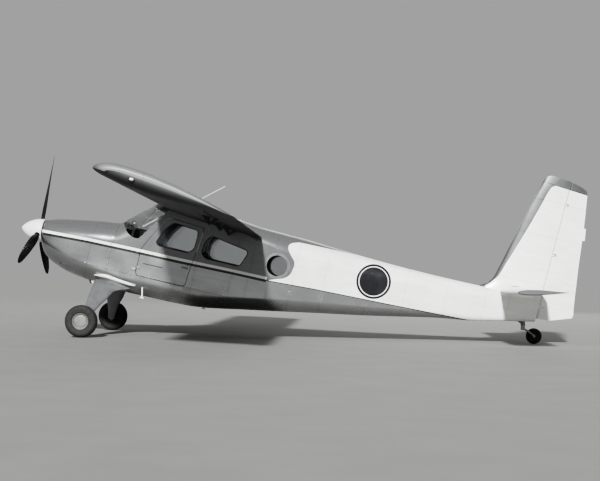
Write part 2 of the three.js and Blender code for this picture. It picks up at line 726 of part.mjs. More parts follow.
function rudder() {
  const heights = [1600, 1788, 2400, 3256, 3858, 3990];
  const rows = heights.map((z) => {
    const i = Math.min(Math.max(1, FIN.findIndex((row) => row[0] >= z)), FIN.length - 1);
    const t = (z - FIN[i - 1][0]) / (FIN[i][0] - FIN[i - 1][0]);
    return FIN[i - 1].map((value, k) => lerp(value, FIN[i][k], t));
  });
  rows[0] = [1600, 6000, 7572, 60];
  rows[1] = [1788, 6000, 7556, 60];
  const rings = rows.map(([z, lead, trail, half]) => {
    const hinge = hingeX(z);
    const nose = rudderNose([z, lead, trail, half]);
    const flank = [];
    for (let i = 0; i <= 4; i += 1) {
      const a = Math.PI / 2 * i / 4;
      flank.push([hinge - nose * Math.cos(a), nose * Math.sin(a) + 0.5, z]);
    }
    for (let i = 1; i <= 4; i += 1) {
      const x = lerp(hinge, trail, i / 4);
      flank.push([x, Math.max(half * tailThickness((x - lead) / (trail - lead)), 3), z]);
    }
    return [...flank, ...flank.map(([x, y]) => [x, -y, z]).reverse()];
  });
  const tab = sidePrism([[7380, 3262], [7446, 3254], [7470, 3064], [7390, 3045]], -2, 2);
  const notches = RUDDER_HINGES_Z.map((z) => box(
    hingeX(z) - 80, hingeX(z) + 24, -80, 80, z - HINGE_NOTCH / 2, z + HINGE_NOTCH / 2));
  return without(joined(loft(rings).intersect(sidePrism(RUDDER_SIDE, -200, 200)), tab), ...notches);
}

function tailBoom() {
  const boom = bodyLoft(CABIN_END_X + SEAT_GAP, TAIL_POST_X, 0);
  return joined(boom.subtract(torqueBore()), rudderHinge(RUDDER_HINGES_Z[0]));
}

function torqueBore() {
  const [px, pz] = TAILPLANE_PIVOT;
  const radius = TORQUE_TUBE_RADIUS + 0.8;
  return bar([px, -300, pz], [px, 300, pz], radius, radius, 24);
}

// Drawn flat about its pivot; the parked angle is given to its group.
function tailplane() {
  const section = [
    [0, 0], [0.02, 0.022], [0.08, 0.04], [0.2, 0.052], [0.38, 0.053], [0.65, 0.035], [1, 0.003],
    [1, -0.003], [0.65, -0.035], [0.38, -0.053], [0.2, -0.052], [0.08, -0.04], [0.02, -0.022],
  ];
  const rootY = 128;
  // distance from the middle, front and rear edge as chord fractions, thickness
  const stations = [
    [rootY, 0, 0.9, 1], [420, 0, 1, 1], [TAILPLANE_HALF_SPAN - 110, 0, 1, 0.86],
    [TAILPLANE_HALF_SPAN - 40, 0.03, 0.985, 0.6], [TAILPLANE_HALF_SPAN, 0.1, 0.95, 0.22],
  ];
  const halves = [-1, 1].map((side) => loft(stations.map(([y, front, rear, thick]) => section.map(
    ([u, v]) => [TAILPLANE_CHORD * (lerp(front, rear, u) - 0.25), side * y, TAILPLANE_CHORD * v * thick]))));
  const tube = bar([0, -rootY - 60, 0], [0, rootY + 60, 0], TORQUE_TUBE_RADIUS, TORQUE_TUBE_RADIUS, 20);
  return joined(...halves, tube);
}

// Propeller, drawn about its hub with the shaft along x, then tipped with the thrust line

function blade(angle) {
  // radius, chord, thickness, pitch
  const rows = [
    [70, 64, 64, 50], [180, 66, 58, 48], [270, 112, 34, 42], [420, 152, 22, 34], [700, 166, 15, 25],
    [980, 150, 11, 19], [1150, 118, 9, 16], [1225, 72, 7, 15], [PROP_RADIUS, 24, 5, 15],
  ];
  const sides = 10;
  const rings = rows.map(([r, chord, thick, pitch]) => Array.from({ length: sides }, (_, i) => {
    const a = i / sides * 2 * Math.PI;
    const along = chord / 2 * Math.cos(a);
    const across = thick / 2 * Math.sin(a);
    const p = rad(pitch);
    return [-along * Math.sin(p) + across * Math.cos(p), along * Math.cos(p) + across * Math.sin(p), r];
  }));
  return loft(rings).rotate([-angle, 0, 0]);
}

function propeller() {
  const [front, rear] = BACKPLATE;
  const hub = bar([-80, 0, 0], [front, 0, 0], 92, 92, 24);
  const plate = bar([front, 0, 0], [rear, 0, 0], SPINNER_RADIUS - 1, SPINNER_RADIUS - 1, 28);
  const nut = bar([-150, 0, 0], [-60, 0, 0], 40, 60, 16);
  const blades = [0, -120, 120].map((step) => blade(BLADE_START + step));
  return joined(hub, plate, nut, ...blades);
}

function spinnerShell(radius, back, length) {
  const points = [];
  const steps = 6;
  for (let i = 0; i <= steps; i += 1) {
    const turn = Math.PI / 2 * i / steps;
    points.push([radius * Math.sin(turn) ** 1.5, back - length * Math.cos(turn)]);
  }
  return points;
}

function spinner() {
  const back = BACKPLATE[0] - SEAT_GAP;
  const outer = spinnerShell(SPINNER_RADIUS, back, SPINNER_LENGTH);
  const inner = spinnerShell(SPINNER_RADIUS - 6, back + 4, SPINNER_LENGTH - 10);
  const solidOf = (profile) => turned([...profile, [0, profile.at(-1)[1]]], 24).rotate([0, 0, -90]);
  const holes = [0, -120, 120].map((step) => bar([-5, 0, 100], [-5, 0, 320], 47, 47, 16)
    .rotate([-(BLADE_START + step), 0, 0]));
  return without(solidOf(outer), solidOf(inner), ...holes);
}

// Main gear

// height, inner edge side distance, front x, rear x, thickness
const LEG = [
  [760, 330, -104, 556, 70], [640, 452, -103, 520, 78], [523, 600, -101, 258, 74], [380, 770, -94, 196, 66],
  [240, 938, -78, 128, 60], [60, 1150, -62, 76, 56], [-20, 1216, -54, 54, 54],
];

const LEG_SIDES = 14;
const LEG_NORMAL = [0.64, 0.77];     // which way the flat of the leg faces, across and up

// The cantilever leg, grown all round by a clearance.
function legLoft(side, grow) {
  return loft(LEG.map(([z, y, front, rear, thick]) => Array.from({ length: LEG_SIDES }, (_, i) => {
    const a = i / LEG_SIDES * 2 * Math.PI;
    const x = (front + rear) / 2 + ((rear - front) / 2 + grow) * Math.cos(a);
    const half = (thick / 2 + grow) * Math.sin(a);
    return [x, side * (y + half * LEG_NORMAL[0]), z + half * LEG_NORMAL[1]];
  })));
}

function gearLeg(side) {
  return legLoft(side, 0).subtract(bodyLoft(-700, 1400, -SEAT_GAP));
}

// x, middle height and depth of the strip that closes the leg's root against the body
const ROOT_STRIP = [
  [-124, 704, 14], [-60, 714, 44], [60, 727, 68], [200, 716, 68], [360, 699, 60], [480, 688, 52],
  [562, 684, 14],
];

function gearRootStrip(side) {
  const steps = 10;
  const rings = ROOT_STRIP.map(([x, z, height]) => Array.from({ length: steps }, (_, i) => {
    const a = i / steps * 2 * Math.PI;
    return [x, side * (520 + 64 * Math.cos(a)), z + height / 2 * Math.sin(a)];
  }));
  return without(loft(rings), bodyLoft(-700, 1400, -SEAT_GAP), legLoft(side, 1));
}

const AXLE_RADIUS = 24;

function mainAxle(side) {
  const half = TRACK / 2;
  const pin = bar([0, side * 1232, 0], [0, side * (half + 34), 0], AXLE_RADIUS, AXLE_RADIUS, 16);
  const flange = bar([0, side * 1226, 0], [0, side * 1240, 0], 62, 62, 20);
  return joined(pin, flange).subtract(legLoft(side, 1));
}

// Wheel profiles turned about y, outer face towards +y.

function tyre(radius, width, rim, segments) {
  const half = width / 2;
  return turned([
    [rim, -half * 0.66], [rim + 20, -half * 0.86], [lerp(rim, radius, 0.5), -half],
    [radius - 26, -half * 0.86],
    [radius - 6, -half * 0.5], [radius, 0], [radius - 6, half * 0.5], [radius - 26, half * 0.86],
    [lerp(rim, radius, 0.5), half], [rim + 20, half * 0.86], [rim, half * 0.66], [rim, -half * 0.66],
  ], segments);
}

function mainWheel() {
  const rim = RIM_RADIUS - SEAT_GAP;
  const half = TYRE_WIDTH / 2;
  return turned([
    [AXLE_RADIUS + 1, -half * 0.6], [rim - 14, -half * 0.6], [rim, -half * 0.64], [rim, half * 0.64],
    [rim - 10, half * 0.7], [rim - 22, half * 0.5], [rim - 40, half * 0.62], [40, half * 0.74],
    [0, half * 0.76], [0, half * 0.5], [AXLE_RADIUS + 1, half * 0.5], [AXLE_RADIUS + 1, -half * 0.6],
  ], 26);
}

// Tail wheel, drawn along the ground from the main axle

function tailBracket() {
  const post = bar([TAIL_SWIVEL_X, 0, 300], [TAIL_SWIVEL_X, 0, 480], 30, 38, 16);
  const brace = bar([TAIL_SWIVEL_X - 4, 0, 326], [TAIL_SWIVEL_X - 190, 0, 450], 17, 20, 12);
  const boom = bodyLoft(5000, TAIL_POST_X, -SEAT_GAP)
    .rotate([0, GROUND_ANGLE, 0]).translate([0, 0, WHEEL_RADIUS]);
  return joined(post, brace).subtract(boom);
}

function tailFork() {
  const head = bar([TAIL_SWIVEL_X, 0, 222], [TAIL_SWIVEL_X, 0, 300 - 0.5], 34, 34, 18);
  const arms = [-1, 1].map((side) => bar(
    [TAIL_SWIVEL_X + 4, side * 56, 246], [TAIL_WHEEL_X + 14, side * 60, 119], 15, 13, 10));
  const yoke = box(TAIL_SWIVEL_X - 24, TAIL_SWIVEL_X + 24, -68, 68, 226, 262);
  const pin = bar([TAIL_WHEEL_X, -66, TAIL_WHEEL_RADIUS], [TAIL_WHEEL_X, 66, TAIL_WHEEL_RADIUS], 9, 9, 12);
  return joined(head, yoke, ...arms, pin);
}

function tailWheelHub() {
  const rim = TAIL_RIM_RADIUS - SEAT_GAP;
  return turned([[10, -30], [52, -30], [rim, -24], [rim, 24], [52, 30], [10, 30], [10, -30]], 20);
}

// Cabin fittings

const SEAT_Y = 270;                  // front seats and control wheels, either side of the middle

const COLUMN_Z = 1345;
const COLUMN_END = 690;             // where the control wheels stand
const COLUMN_RADIUS = 14;

const controlColumn = (y, radius) => bar(
  [FIREWALL_X + WALL + SEAT_GAP, y, COLUMN_Z], [COLUMN_END, y, COLUMN_Z], radius, radius, 10);

function instrumentPanel() {
  const face = sidePrism([
    [300, 1180], [330, 1180], [330, 1560], [372, 1580], [366, 1600], [100, 1575], [100, 1556], [300, 1545],
  ], -500, 500);
  const holes = [-1, 1].map((side) => controlColumn(side * SEAT_Y, COLUMN_RADIUS + 4));
  return without(face.intersect(bodyLoft(FIREWALL_X + WALL, 900, WALL + SEAT_GAP)), ...holes);
}

function seat(x, y, width, backHeight) {
  const [y0, y1] = [y - width / 2, y + width / 2];
  const cushion = box(x, x + 440, y0, y1, 940, 1050);
  const back = sidePrism(
    [[x + 400, 1000], [x + 500, 1000], [x + 610, backHeight], [x + 530, backHeight]], y0, y1);
  const legs = box(x + 60, x + 380, y0 + 50, y1 - 50, FLOOR_Z + SEAT_GAP, 950);
  return joined(cushion, back, legs);
}

function controlWheel(y) {
  const hub = box(COLUMN_END - 10, COLUMN_END + 15, y - 50, y + 50, 1325, 1365);
  const horns = [-1, 1].map((side) => (
    bar([COLUMN_END + 2, y + side * 45, 1340], [COLUMN_END + 2, y + side * 110, 1425], 13, 13, 8)));
  return joined(controlColumn(y, COLUMN_RADIUS), hub, ...horns);
}

function exhaust(side) {
  const stack = bar([-250, side * 250, 660], [-190, side * 262, 560], 30, 30, 14);
  const bore = bar([-255, side * 250, 668], [-188, side * 262.4, 556], 25, 25, 14);
  return without(stack, bore, bodyLoft(-700, 700, -SEAT_GAP));
}

function step(x, side) {
  const rod = bar([x - 10, side * 520, 716], [x + 42, side * 594, 532], 13, 11, 10);
  const foot = box(x + 8, x + 78, side > 0 ? 556 : -636, side > 0 ? 636 : -556, 520, 534);
  return without(joined(rod, foot), bodyLoft(-700, 2400, -SEAT_GAP));
}

// Assembly

const aircraft = new THREE.Group();
const ground = new THREE.Group();
ground.position.set(AXLE_X, 0, 0);
aircraft.add(ground);
const level = new THREE.Group();
level.position.set(0, 0, WHEEL_RADIUS);
level.rotation.y = rad(GROUND_ANGLE);
ground.add(level);

function put(name, body, material, parent = level) {
  const mesh = new THREE.Mesh(geometryOf(body), material);
  mesh.name = name;
  parent.add(mesh);
  return mesh;
}

put('cowling', cowling(), silverPaint);
put('engine_block', engineBlock(), castMetal);
put('cabin_shell', cabinShell(), silverPaint);
put('cabin_floor', cabinFloor(), silverPaint);
put('windshield', windshield(), clearGlass);
put('tail_boom', tailBoom(), whitePaint);
put('fin', without(fin(), torqueBore()), whitePaint);
put('fin_cap', finCap(), silverPaint);
put('rudder', rudder(), whitePaint);
put('rear_window_left', sidePane(REAR_WINDOW, -1), clearGlass);
put('front_window_right', sidePane(FRONT_WINDOW, 1), clearGlass);
put('door_left', door(FRONT_DOOR, FRONT_WINDOW, -1), silverPaint);
put('door_left_glass', sidePane(FRONT_WINDOW, -1), clearGlass);
put('door_right', door(REAR_DOOR, REAR_WINDOW, 1), silverPaint);
put('door_right_glass', sidePane(REAR_WINDOW, 1), clearGlass);
put('instrument_panel', instrumentPanel(), cabinGrey);
put('seat_front_left', seat(900, -SEAT_Y, 440, 1440), seatCloth);
put('seat_front_right', seat(900, SEAT_Y, 440, 1440), seatCloth);
put('seat_middle', seat(1620, 0, 980, 1400), seatCloth);

for (const [side, name] of [[-1, 'left'], [1, 'right']]) {
  put(`round_window_${name}`, roundPane(side), clearGlass);
  put(`wing_${name}`, wing(side), wingGrey);
  SLAT_SPAN.forEach((span, i) => {
    put(`slat_${i ? 'outer' : 'inner'}_${name}`, slat(span, side), wingGrey);
  });
  put(`flap_${name}`, flap(side), wingGrey);
  put(`aileron_${name}`, aileron(side), wingGrey);
  put(`gear_leg_${name}`, gearLeg(side), wingGrey);
  put(`gear_root_fairing_${name}`, gearRootStrip(side), whitePaint);
  put(`axle_${name}`, mainAxle(side), bareSteel);
  put(`control_wheel_${name}`, controlWheel(side * SEAT_Y), blackPaint);
  put(`exhaust_${name}`, exhaust(side), whitePaint);

  const wheel = new THREE.Group();
  wheel.position.set(0, side * TRACK / 2, WHEEL_RADIUS);
  wheel.rotation.z = side > 0 ? 0 : Math.PI;
  ground.add(wheel);
  put(`tyre_${name}`, tyre(WHEEL_RADIUS, TYRE_WIDTH, RIM_RADIUS, 26), tyreRubber, wheel);
  put(`wheel_${name}`, mainWheel(), wheelPaint, wheel);
}
put('step_left', step(676, -1), whitePaint);
put('step_right', step(1560, 1), whitePaint);

const stabiliser = new THREE.Group();
stabiliser.position.set(TAILPLANE_PIVOT[0], 0, TAILPLANE_PIVOT[1]);
stabiliser.rotation.y = -rad(TAILPLANE_REST);
level.add(stabiliser);
put('tailplane', tailplane(), wingGrey, stabiliser);

const thrust = new THREE.Group();
thrust.position.set(HUB[0], 0, HUB[1]);
thrust.rotation.y = -rad(THRUST_DOWN);
level.add(thrust);
put('propeller', propeller(), blackPaint, thrust);
put('spinner', spinner(), whitePaint, thrust);

put('tail_wheel_bracket', tailBracket(), wingGrey, ground);
put('tail_wheel_fork', tailFork(), wingGrey, ground);
const tailWheel = new THREE.Group();
tailWheel.position.set(TAIL_WHEEL_X, 0, TAIL_WHEEL_RADIUS);
ground.add(tailWheel);
put('tail_tyre', tyre(TAIL_WHEEL_RADIUS, 74, TAIL_RIM_RADIUS, 20), tyreRubber, tailWheel);
put('tail_wheel', tailWheelHub(), wheelPaint, tailWheel);

export default aircraft;
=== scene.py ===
# %% [markdown]
# # A light aircraft, dressed from its solids
# The engineering model comes in first and never moves. Every visible piece is then
# modelled over it, given a real finish, and fastened to the body that carries it.

# %% Load the solids
import math
import bmesh
import bpy
from mathutils import Matrix, Vector


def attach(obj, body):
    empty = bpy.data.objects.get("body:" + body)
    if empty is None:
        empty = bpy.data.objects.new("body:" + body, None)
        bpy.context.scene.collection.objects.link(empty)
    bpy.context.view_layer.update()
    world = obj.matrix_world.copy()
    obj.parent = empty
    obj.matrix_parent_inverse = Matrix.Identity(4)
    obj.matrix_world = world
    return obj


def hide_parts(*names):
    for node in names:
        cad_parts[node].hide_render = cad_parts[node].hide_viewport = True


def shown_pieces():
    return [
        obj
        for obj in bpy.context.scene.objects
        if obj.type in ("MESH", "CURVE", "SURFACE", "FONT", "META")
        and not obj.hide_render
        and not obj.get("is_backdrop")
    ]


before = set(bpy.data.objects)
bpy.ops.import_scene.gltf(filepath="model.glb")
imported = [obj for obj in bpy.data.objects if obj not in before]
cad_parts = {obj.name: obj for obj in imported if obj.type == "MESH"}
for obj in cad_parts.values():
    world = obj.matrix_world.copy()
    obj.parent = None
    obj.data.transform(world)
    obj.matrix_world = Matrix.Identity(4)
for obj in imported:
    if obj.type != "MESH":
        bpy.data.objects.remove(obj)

for name in ("Cube", "Light", "Camera"):
    if name in bpy.data.objects:
        bpy.data.objects.remove(bpy.data.objects[name])
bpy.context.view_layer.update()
print("solids:", len(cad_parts))

# %% [markdown]
# ## The level frame
# Aircraft are drawn with the body level and parked nose-up, so the numbers below are
# read from a side view: x aft of the main axle, z above it, in millimetres. One matrix
# tips a finished piece twelve degrees onto its wheels and turns it into metres.

# %% The level frame
GROUND_ANGLE = math.radians(12)
AXLE_X = -3332
WHEEL_RADIUS = 250
MM = Matrix.Scale(0.001, 4)
LEVEL = MM @ Matrix.Translation((AXLE_X, 0, WHEEL_RADIUS)) @ Matrix.Rotation(GROUND_ANGLE, 4, "Y")
GROUND = MM @ Matrix.Translation((AXLE_X, 0, 0))
SIDES = ((-1, "left"), (1, "right"))
SNUG = -0.3                        # mm outside the skin, where what meets the body is trimmed
print("ground angle, degrees:", round(math.degrees(GROUND_ANGLE)))

# %% [markdown]
# ## Hand tools
# Operators act on whatever is selected, and the imported solids arrive selected, so
# every step starts from a clean selection. These few helpers do the work of a hand on
# the mouse: start a mesh, run a modifier and keep its result, cut one shape with another.

# %% Hand tools
def clear_selection():
    """Leave edit mode and select nothing."""
    if bpy.context.object and bpy.context.object.mode != "OBJECT":
        bpy.ops.object.mode_set(mode="OBJECT")
    bpy.ops.object.select_all(action="DESELECT")


def pick(*pieces):
    """Select only these pieces, the first one active."""
    clear_selection()
    for piece in pieces:
        piece.select_set(True)
    bpy.context.view_layer.objects.active = pieces[0]
    return pieces[0]


def named(name):
    """Name the piece that was just added."""
    piece = bpy.context.object
    piece.name = piece.data.name = name
    return piece


def keep(piece, kind, **settings):
    """Add a modifier, set it, and keep its result."""
    pick(piece)
    bpy.ops.object.modifier_add(type=kind)
    modifier = piece.modifiers[-1]
    for key, value in settings.items():
        setattr(modifier, key, value)
    bpy.ops.object.modifier_apply(modifier=modifier.name)
    return piece


def copy_of(piece, name):
    """A second piece with a mesh of its own."""
    pick(piece)
    bpy.ops.object.duplicate()
    return named(name)


def cut(piece, *cutters, operation="DIFFERENCE"):
    """Cut a piece with others, which are used up."""
    for cutter in cutters:
        keep(piece, "BOOLEAN", object=cutter, operation=operation, solver="EXACT")
        bpy.data.objects.remove(cutter)
    return piece


def merge(name, *pieces):
    """Join pieces into one."""
    pick(*pieces)
    if len(pieces) > 1:
        bpy.ops.object.join()
    return named(name)


def tidy_normals(piece):
    """Weld loose vertices and point every face outwards."""
    pick(piece)
    bpy.ops.object.mode_set(mode="EDIT")
    bpy.ops.mesh.select_all(action="SELECT")
    bpy.ops.mesh.remove_doubles(threshold=0.01)
    bpy.ops.mesh.normals_make_consistent(inside=False)
    bpy.ops.object.mode_set(mode="OBJECT")
    return piece


def smooth(piece, angle=32, bevel=0, segments=2):
    """Round the hard edges if asked, then shade smooth up to an angle."""
    if bevel:
        keep(piece, "BEVEL", width=bevel, segments=segments, limit_method="ANGLE",
             angle_limit=math.radians(40))
    pick(piece)
    bpy.ops.object.shade_smooth_by_angle(angle=math.radians(angle))
    return piece


def settle(piece, body, material=None, place=LEVEL, replaces=()):
    """Stand a finished piece on the ground, paint it, and let it ride on its body."""
    pick(piece)
    piece.matrix_world = place @ piece.matrix_world
    bpy.ops.object.transform_apply(location=True, rotation=True, scale=True)
    keep(piece, "WEIGHTED_NORMAL", keep_sharp=True)
    if material:
        piece.data.materials.clear()
        piece.data.materials.append(material)
    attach(piece, body)
    if replaces:
        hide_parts(*replaces)
    return piece


def fix(piece, material, place=LEVEL, replaces=()):
    """Settle a piece that is fixed to the airframe."""
    return settle(piece, "airframe", material, place, replaces)


# %% [markdown]
# ## Four ways to start a shape
# A skin is one circle, extruded ring by ring, each new ring moved to its section. A
# plate is an outline extruded once. A turned part is a skin of round rings, and a rod is
# a path given a round section. Nearly every piece of an airframe is one of these.

# %% Skins, plates, turned parts and rods
def ys(side, near, far):
    """Two distances out from the middle on one side, the lower y first."""
    return sorted((side * near, side * far))


def facing(side):
    """A turn that makes the y axis look away from the body."""
    return Matrix.Identity(4) if side > 0 else Matrix.Rotation(math.pi, 4, "Z")


def skin(name, rings):
    """A closed skin through rings of points, all of the same number."""
    clear_selection()
    bpy.ops.mesh.primitive_circle_add(vertices=len(rings[0]), fill_type="NGON")
    piece = named(name)
    bpy.ops.object.mode_set(mode="EDIT")
    bpy.ops.mesh.select_all(action="SELECT")
    mesh = bmesh.from_edit_mesh(piece.data)
    mesh.verts.ensure_lookup_table()
    order = {vertex.index: i for i, vertex in enumerate(mesh.verts)}
    for vertex in mesh.verts:
        vertex.co = rings[0][order[vertex.index]]
    for ring in rings[1:]:
        bpy.ops.mesh.extrude_region_move()
        mesh = bmesh.from_edit_mesh(piece.data)
        mesh.verts.index_update()
        fresh = {}
        for vertex in mesh.verts:
            if vertex.select:
                old = next(e.other_vert(vertex) for e in vertex.link_edges if not e.select)
                fresh[vertex.index] = order[old.index]
        for vertex in mesh.verts:
            if vertex.index in fresh:
                vertex.co = ring[fresh[vertex.index]]
        order = fresh
    bpy.ops.object.mode_set(mode="OBJECT")
    return tidy_normals(piece)


def plate(name, outline, y0, y1):
    """A side-view outline of (x, z) points, extruded across from y0 to y1."""
    return skin(name, [[(x, y, z) for x, z in outline] for y in (y0, y1)])


def turned(name, profile, segments=48, centre=(0, 0, 0), axis="Y"):
    """A turned part from (radius, distance along the axis) points."""
    rings = []
    for radius, run in profile:
        ring = []
        for a, b in circle((0, 0), max(radius, 0.05), segments):
            point = {"X": (run, a, b), "Y": (a, run, b), "Z": (a, b, run)}[axis]
            ring.append(tuple(p + c for p, c in zip(point, centre)))
        rings.append(ring)
    return skin(name, rings)


def rod(name, points, radius, sides=10, closed=False):
    """A round rod through points, as a path with a bevel, made a mesh."""
    clear_selection()
    path = bpy.data.curves.new(name, "CURVE")
    path.dimensions = "3D"
    path.bevel_depth = radius
    path.bevel_resolution = max(1, sides // 4)
    path.use_fill_caps = True
    line = path.splines.new("POLY")
    line.points.add(len(points) - 1)
    for place, point in zip(line.points, points):
        place.co = (*point, 1)
    line.use_cyclic_u = closed
    piece = bpy.data.objects.new(name, path)
    bpy.context.scene.collection.objects.link(piece)
    pick(piece)
    bpy.ops.object.convert(target="MESH")
    return smooth(tidy_normals(named(name)), 50)


def rounded(outline, radius, steps=5):
    """An outline with each corner rounded."""
    points = []
    for i, corner in enumerate(outline):
        here = Vector(corner)
        before, after = Vector(outline[i - 1]), Vector(outline[(i + 1) % len(outline)])
        reach = min(radius, (before - here).length * 0.45, (after - here).length * 0.45)
        start = here + (before - here).normalized() * reach
        end = here + (after - here).normalized() * reach
        for s in range(steps + 1):
            t = s / steps
            points.append(tuple(start.lerp(here, t).lerp(here.lerp(end, t), t)))
    return points


def grown(outline, distance):
    """An outline moved outwards by a distance."""
    count = len(outline)
    area = sum(outline[i][0] * outline[(i + 1) % count][1] - outline[(i + 1) % count][0] * outline[i][1]
               for i in range(count))
    side = math.copysign(1, area) * distance
    points = []
    for i in range(count):
        into = (Vector(outline[i]) - Vector(outline[i - 1])).normalized()
        out = (Vector(outline[(i + 1) % count]) - Vector(outline[i])).normalized()
        normal = Vector((into.y + out.y, -into.x - out.x))
        points.append(tuple(Vector(outline[i]) + normal * side * 2 / normal.length_squared))
    return points


def circle(centre, radius, steps=40):
    """A round outline."""
    turn = [2 * math.pi * i / steps for i in range(steps)]
    return [(centre[0] + radius * math.cos(a), centre[1] + radius * math.sin(a)) for a in turn]


def mirrored(flank):
    """A ring from its points on one side of the middle."""
    return [*flank, *[(x, -y, z) for x, y, z in reversed(flank)]]


def along(table, x):
    """A row of a table at x, on smooth curves that never overshoot the rows."""
    rows = table
    if x <= rows[0][0]:
        return rows[0]
    if x >= rows[-1][0]:
        return rows[-1]
    i = next(k for k in range(len(rows) - 1) if rows[k + 1][0] >= x)

    def slope(k, c):
        if k in (0, len(rows) - 1):
            j = 0 if k == 0 else len(rows) - 2
            return (rows[j + 1][c] - rows[j][c]) / (rows[j + 1][0] - rows[j][0])
        h0, h1 = rows[k][0] - rows[k - 1][0], rows[k + 1][0] - rows[k][0]
        d0, d1 = (rows[k][c] - rows[k - 1][c]) / h0, (rows[k + 1][c] - rows[k][c]) / h1
        if d0 * d1 <= 0:
            return 0
        w0, w1 = 2 * h1 + h0, h1 + 2 * h0
        return (w0 + w1) / (w0 / d0 + w1 / d1)

    h = rows[i + 1][0] - rows[i][0]
    t = (x - rows[i][0]) / h
    found = [x]
    for c in range(1, len(rows[0])):
        a, b = rows[i][c], rows[i + 1][c]
        m0, m1 = slope(i, c) * h, slope(i + 1, c) * h
        found.append(a * (1 + 2 * t) * (1 - t) ** 2 + m0 * t * (1 - t) ** 2
                     + b * t * t * (3 - 2 * t) + m1 * t * t * (t - 1))
    return found


def spread(a, b, count):
    """Evenly spread values from a to b."""
    return [a + (b - a) * i / (count - 1) for i in range(count)]


print("points in a rounded square:", len(rounded([(0, 0), (1, 0), (1, 1), (0, 1)], 0.1)))

# %% [markdown]
# ## Camera
# A long lens held at waist height well off the left side, level but for a slight
# turn and roll. The numbers come from fitting the wheels, propeller and tail of the
# photograph, so the camera is set from its position and two angles.

# %% Camera
CAMERA_PLACE = Vector((0.7751, -21.4730, 1.05))
CAMERA_YAW, CAMERA_PITCH, CAMERA_ROLL = -0.037452, 0.025735, 0.022134
FOCAL_PIXELS, IMAGE_WIDTH = 1308.7, 600

forward = Vector((math.sin(CAMERA_YAW) * math.cos(CAMERA_PITCH),
                  math.cos(CAMERA_YAW) * math.cos(CAMERA_PITCH), math.sin(CAMERA_PITCH)))
level_right = Vector((math.cos(CAMERA_YAW), -math.sin(CAMERA_YAW), 0))
level_up = level_right.cross(forward)
right = level_right * math.cos(CAMERA_ROLL) + level_up * math.sin(CAMERA_ROLL)
up = level_up * math.cos(CAMERA_ROLL) - level_right * math.sin(CAMERA_ROLL)
clear_selection()
bpy.ops.object.camera_add(location=CAMERA_PLACE)
camera = bpy.context.object
camera.rotation_mode = "QUATERNION"
camera.rotation_quaternion = Matrix((right, up, -forward)).transposed().to_quaternion()
camera.data.sensor_width = 36
camera.data.lens = 36 * FOCAL_PIXELS / IMAGE_WIDTH
camera.data.clip_end = 200
bpy.context.scene.camera = camera
print("lens:", round(camera.data.lens, 1), "mm")

# %% [markdown]
# ## Stage and light
# A pale floor and a grey surround stand in for field and sky. The key light sends
# parallel rays from behind the camera, low enough that the wing shades the cabin side,
# and a few degrees wide so that its shadows have soft edges. A large weak panel on the
# far side keeps that half of the aircraft readable.

# %% Stage and light
TIMES, PLUS, MINUS, MOST, SIZE = [{"operation": word} for word in (
    "MULTIPLY", "ADD", "SUBTRACT", "MAXIMUM", "ABSOLUTE")]
BLEND = {"out": 2, "data_type": "RGBA"}    # for a Mix of two colours, which are its inputs 6 and 7


def linear(text):
    """An sRGB hex colour as linear red, green, blue and alpha."""
    channels = [int(text[i:i + 2], 16) / 255 for i in (1, 3, 5)]
    return (*[c / 12.92 if c <= 0.04045 else ((c + 0.055) / 1.055) ** 2.4 for c in channels], 1)


def fill(tree, node, inputs):
    """Link or set the inputs of a node, by name, or in their order."""
    for key, value in inputs.items() if isinstance(inputs, dict) else enumerate(inputs):
        if isinstance(value, bpy.types.NodeSocket):
            tree.links.new(value, node.inputs[key])
        else:
            node.inputs[key].default_value = value


def add(tree, kind, inputs=(), out=0, **settings):
    """Add a shader node with its settings and links, and give one of its outputs."""
    made = tree.nodes.new("ShaderNode" + kind)
    for key, value in settings.items():
        setattr(made, key, value)
    fill(tree, made, inputs)
    return made.outputs[out]


def fresh_material(name):
    """An empty material with its shader joined to the output."""
    material = bpy.data.materials.new(name)
    material.use_nodes = True
    tree = material.node_tree
    tree.nodes.clear()
    shader = add(tree, "BsdfPrincipled").node
    end = tree.nodes.new("ShaderNodeOutputMaterial")
    tree.links.new(shader.outputs[0], end.inputs["Surface"])
    return material, tree, shader


SUN_FROM = Vector((-0.07, -0.89, 0.445))
KEY_WIDTH = math.radians(4)
clear_selection()
bpy.ops.object.light_add(type="SUN", location=SUN_FROM * 30)
key = bpy.context.object
key.rotation_euler = (-SUN_FROM).to_track_quat("-Z", "Y").to_euler()
key.data.energy, key.data.angle = 5.2, KEY_WIDTH
bpy.ops.object.light_add(type="AREA", location=(4, 20, 9))
far_fill = bpy.context.object
far_fill.rotation_euler = (Vector((0, 0, 1)) - far_fill.location).to_track_quat("-Z", "Y").to_euler()
far_fill.data.size, far_fill.data.energy = 12, 500
view = bpy.context.scene.view_settings
view.view_transform, view.look = "AgX", "AgX - High Contrast"

world = bpy.context.scene.world or bpy.data.worlds.new("surround")
bpy.context.scene.world = world
world.use_nodes = True
fill(world.node_tree, world.node_tree.nodes["Background"], {"Color": linear("#b0b0b0"), "Strength": 0.75})

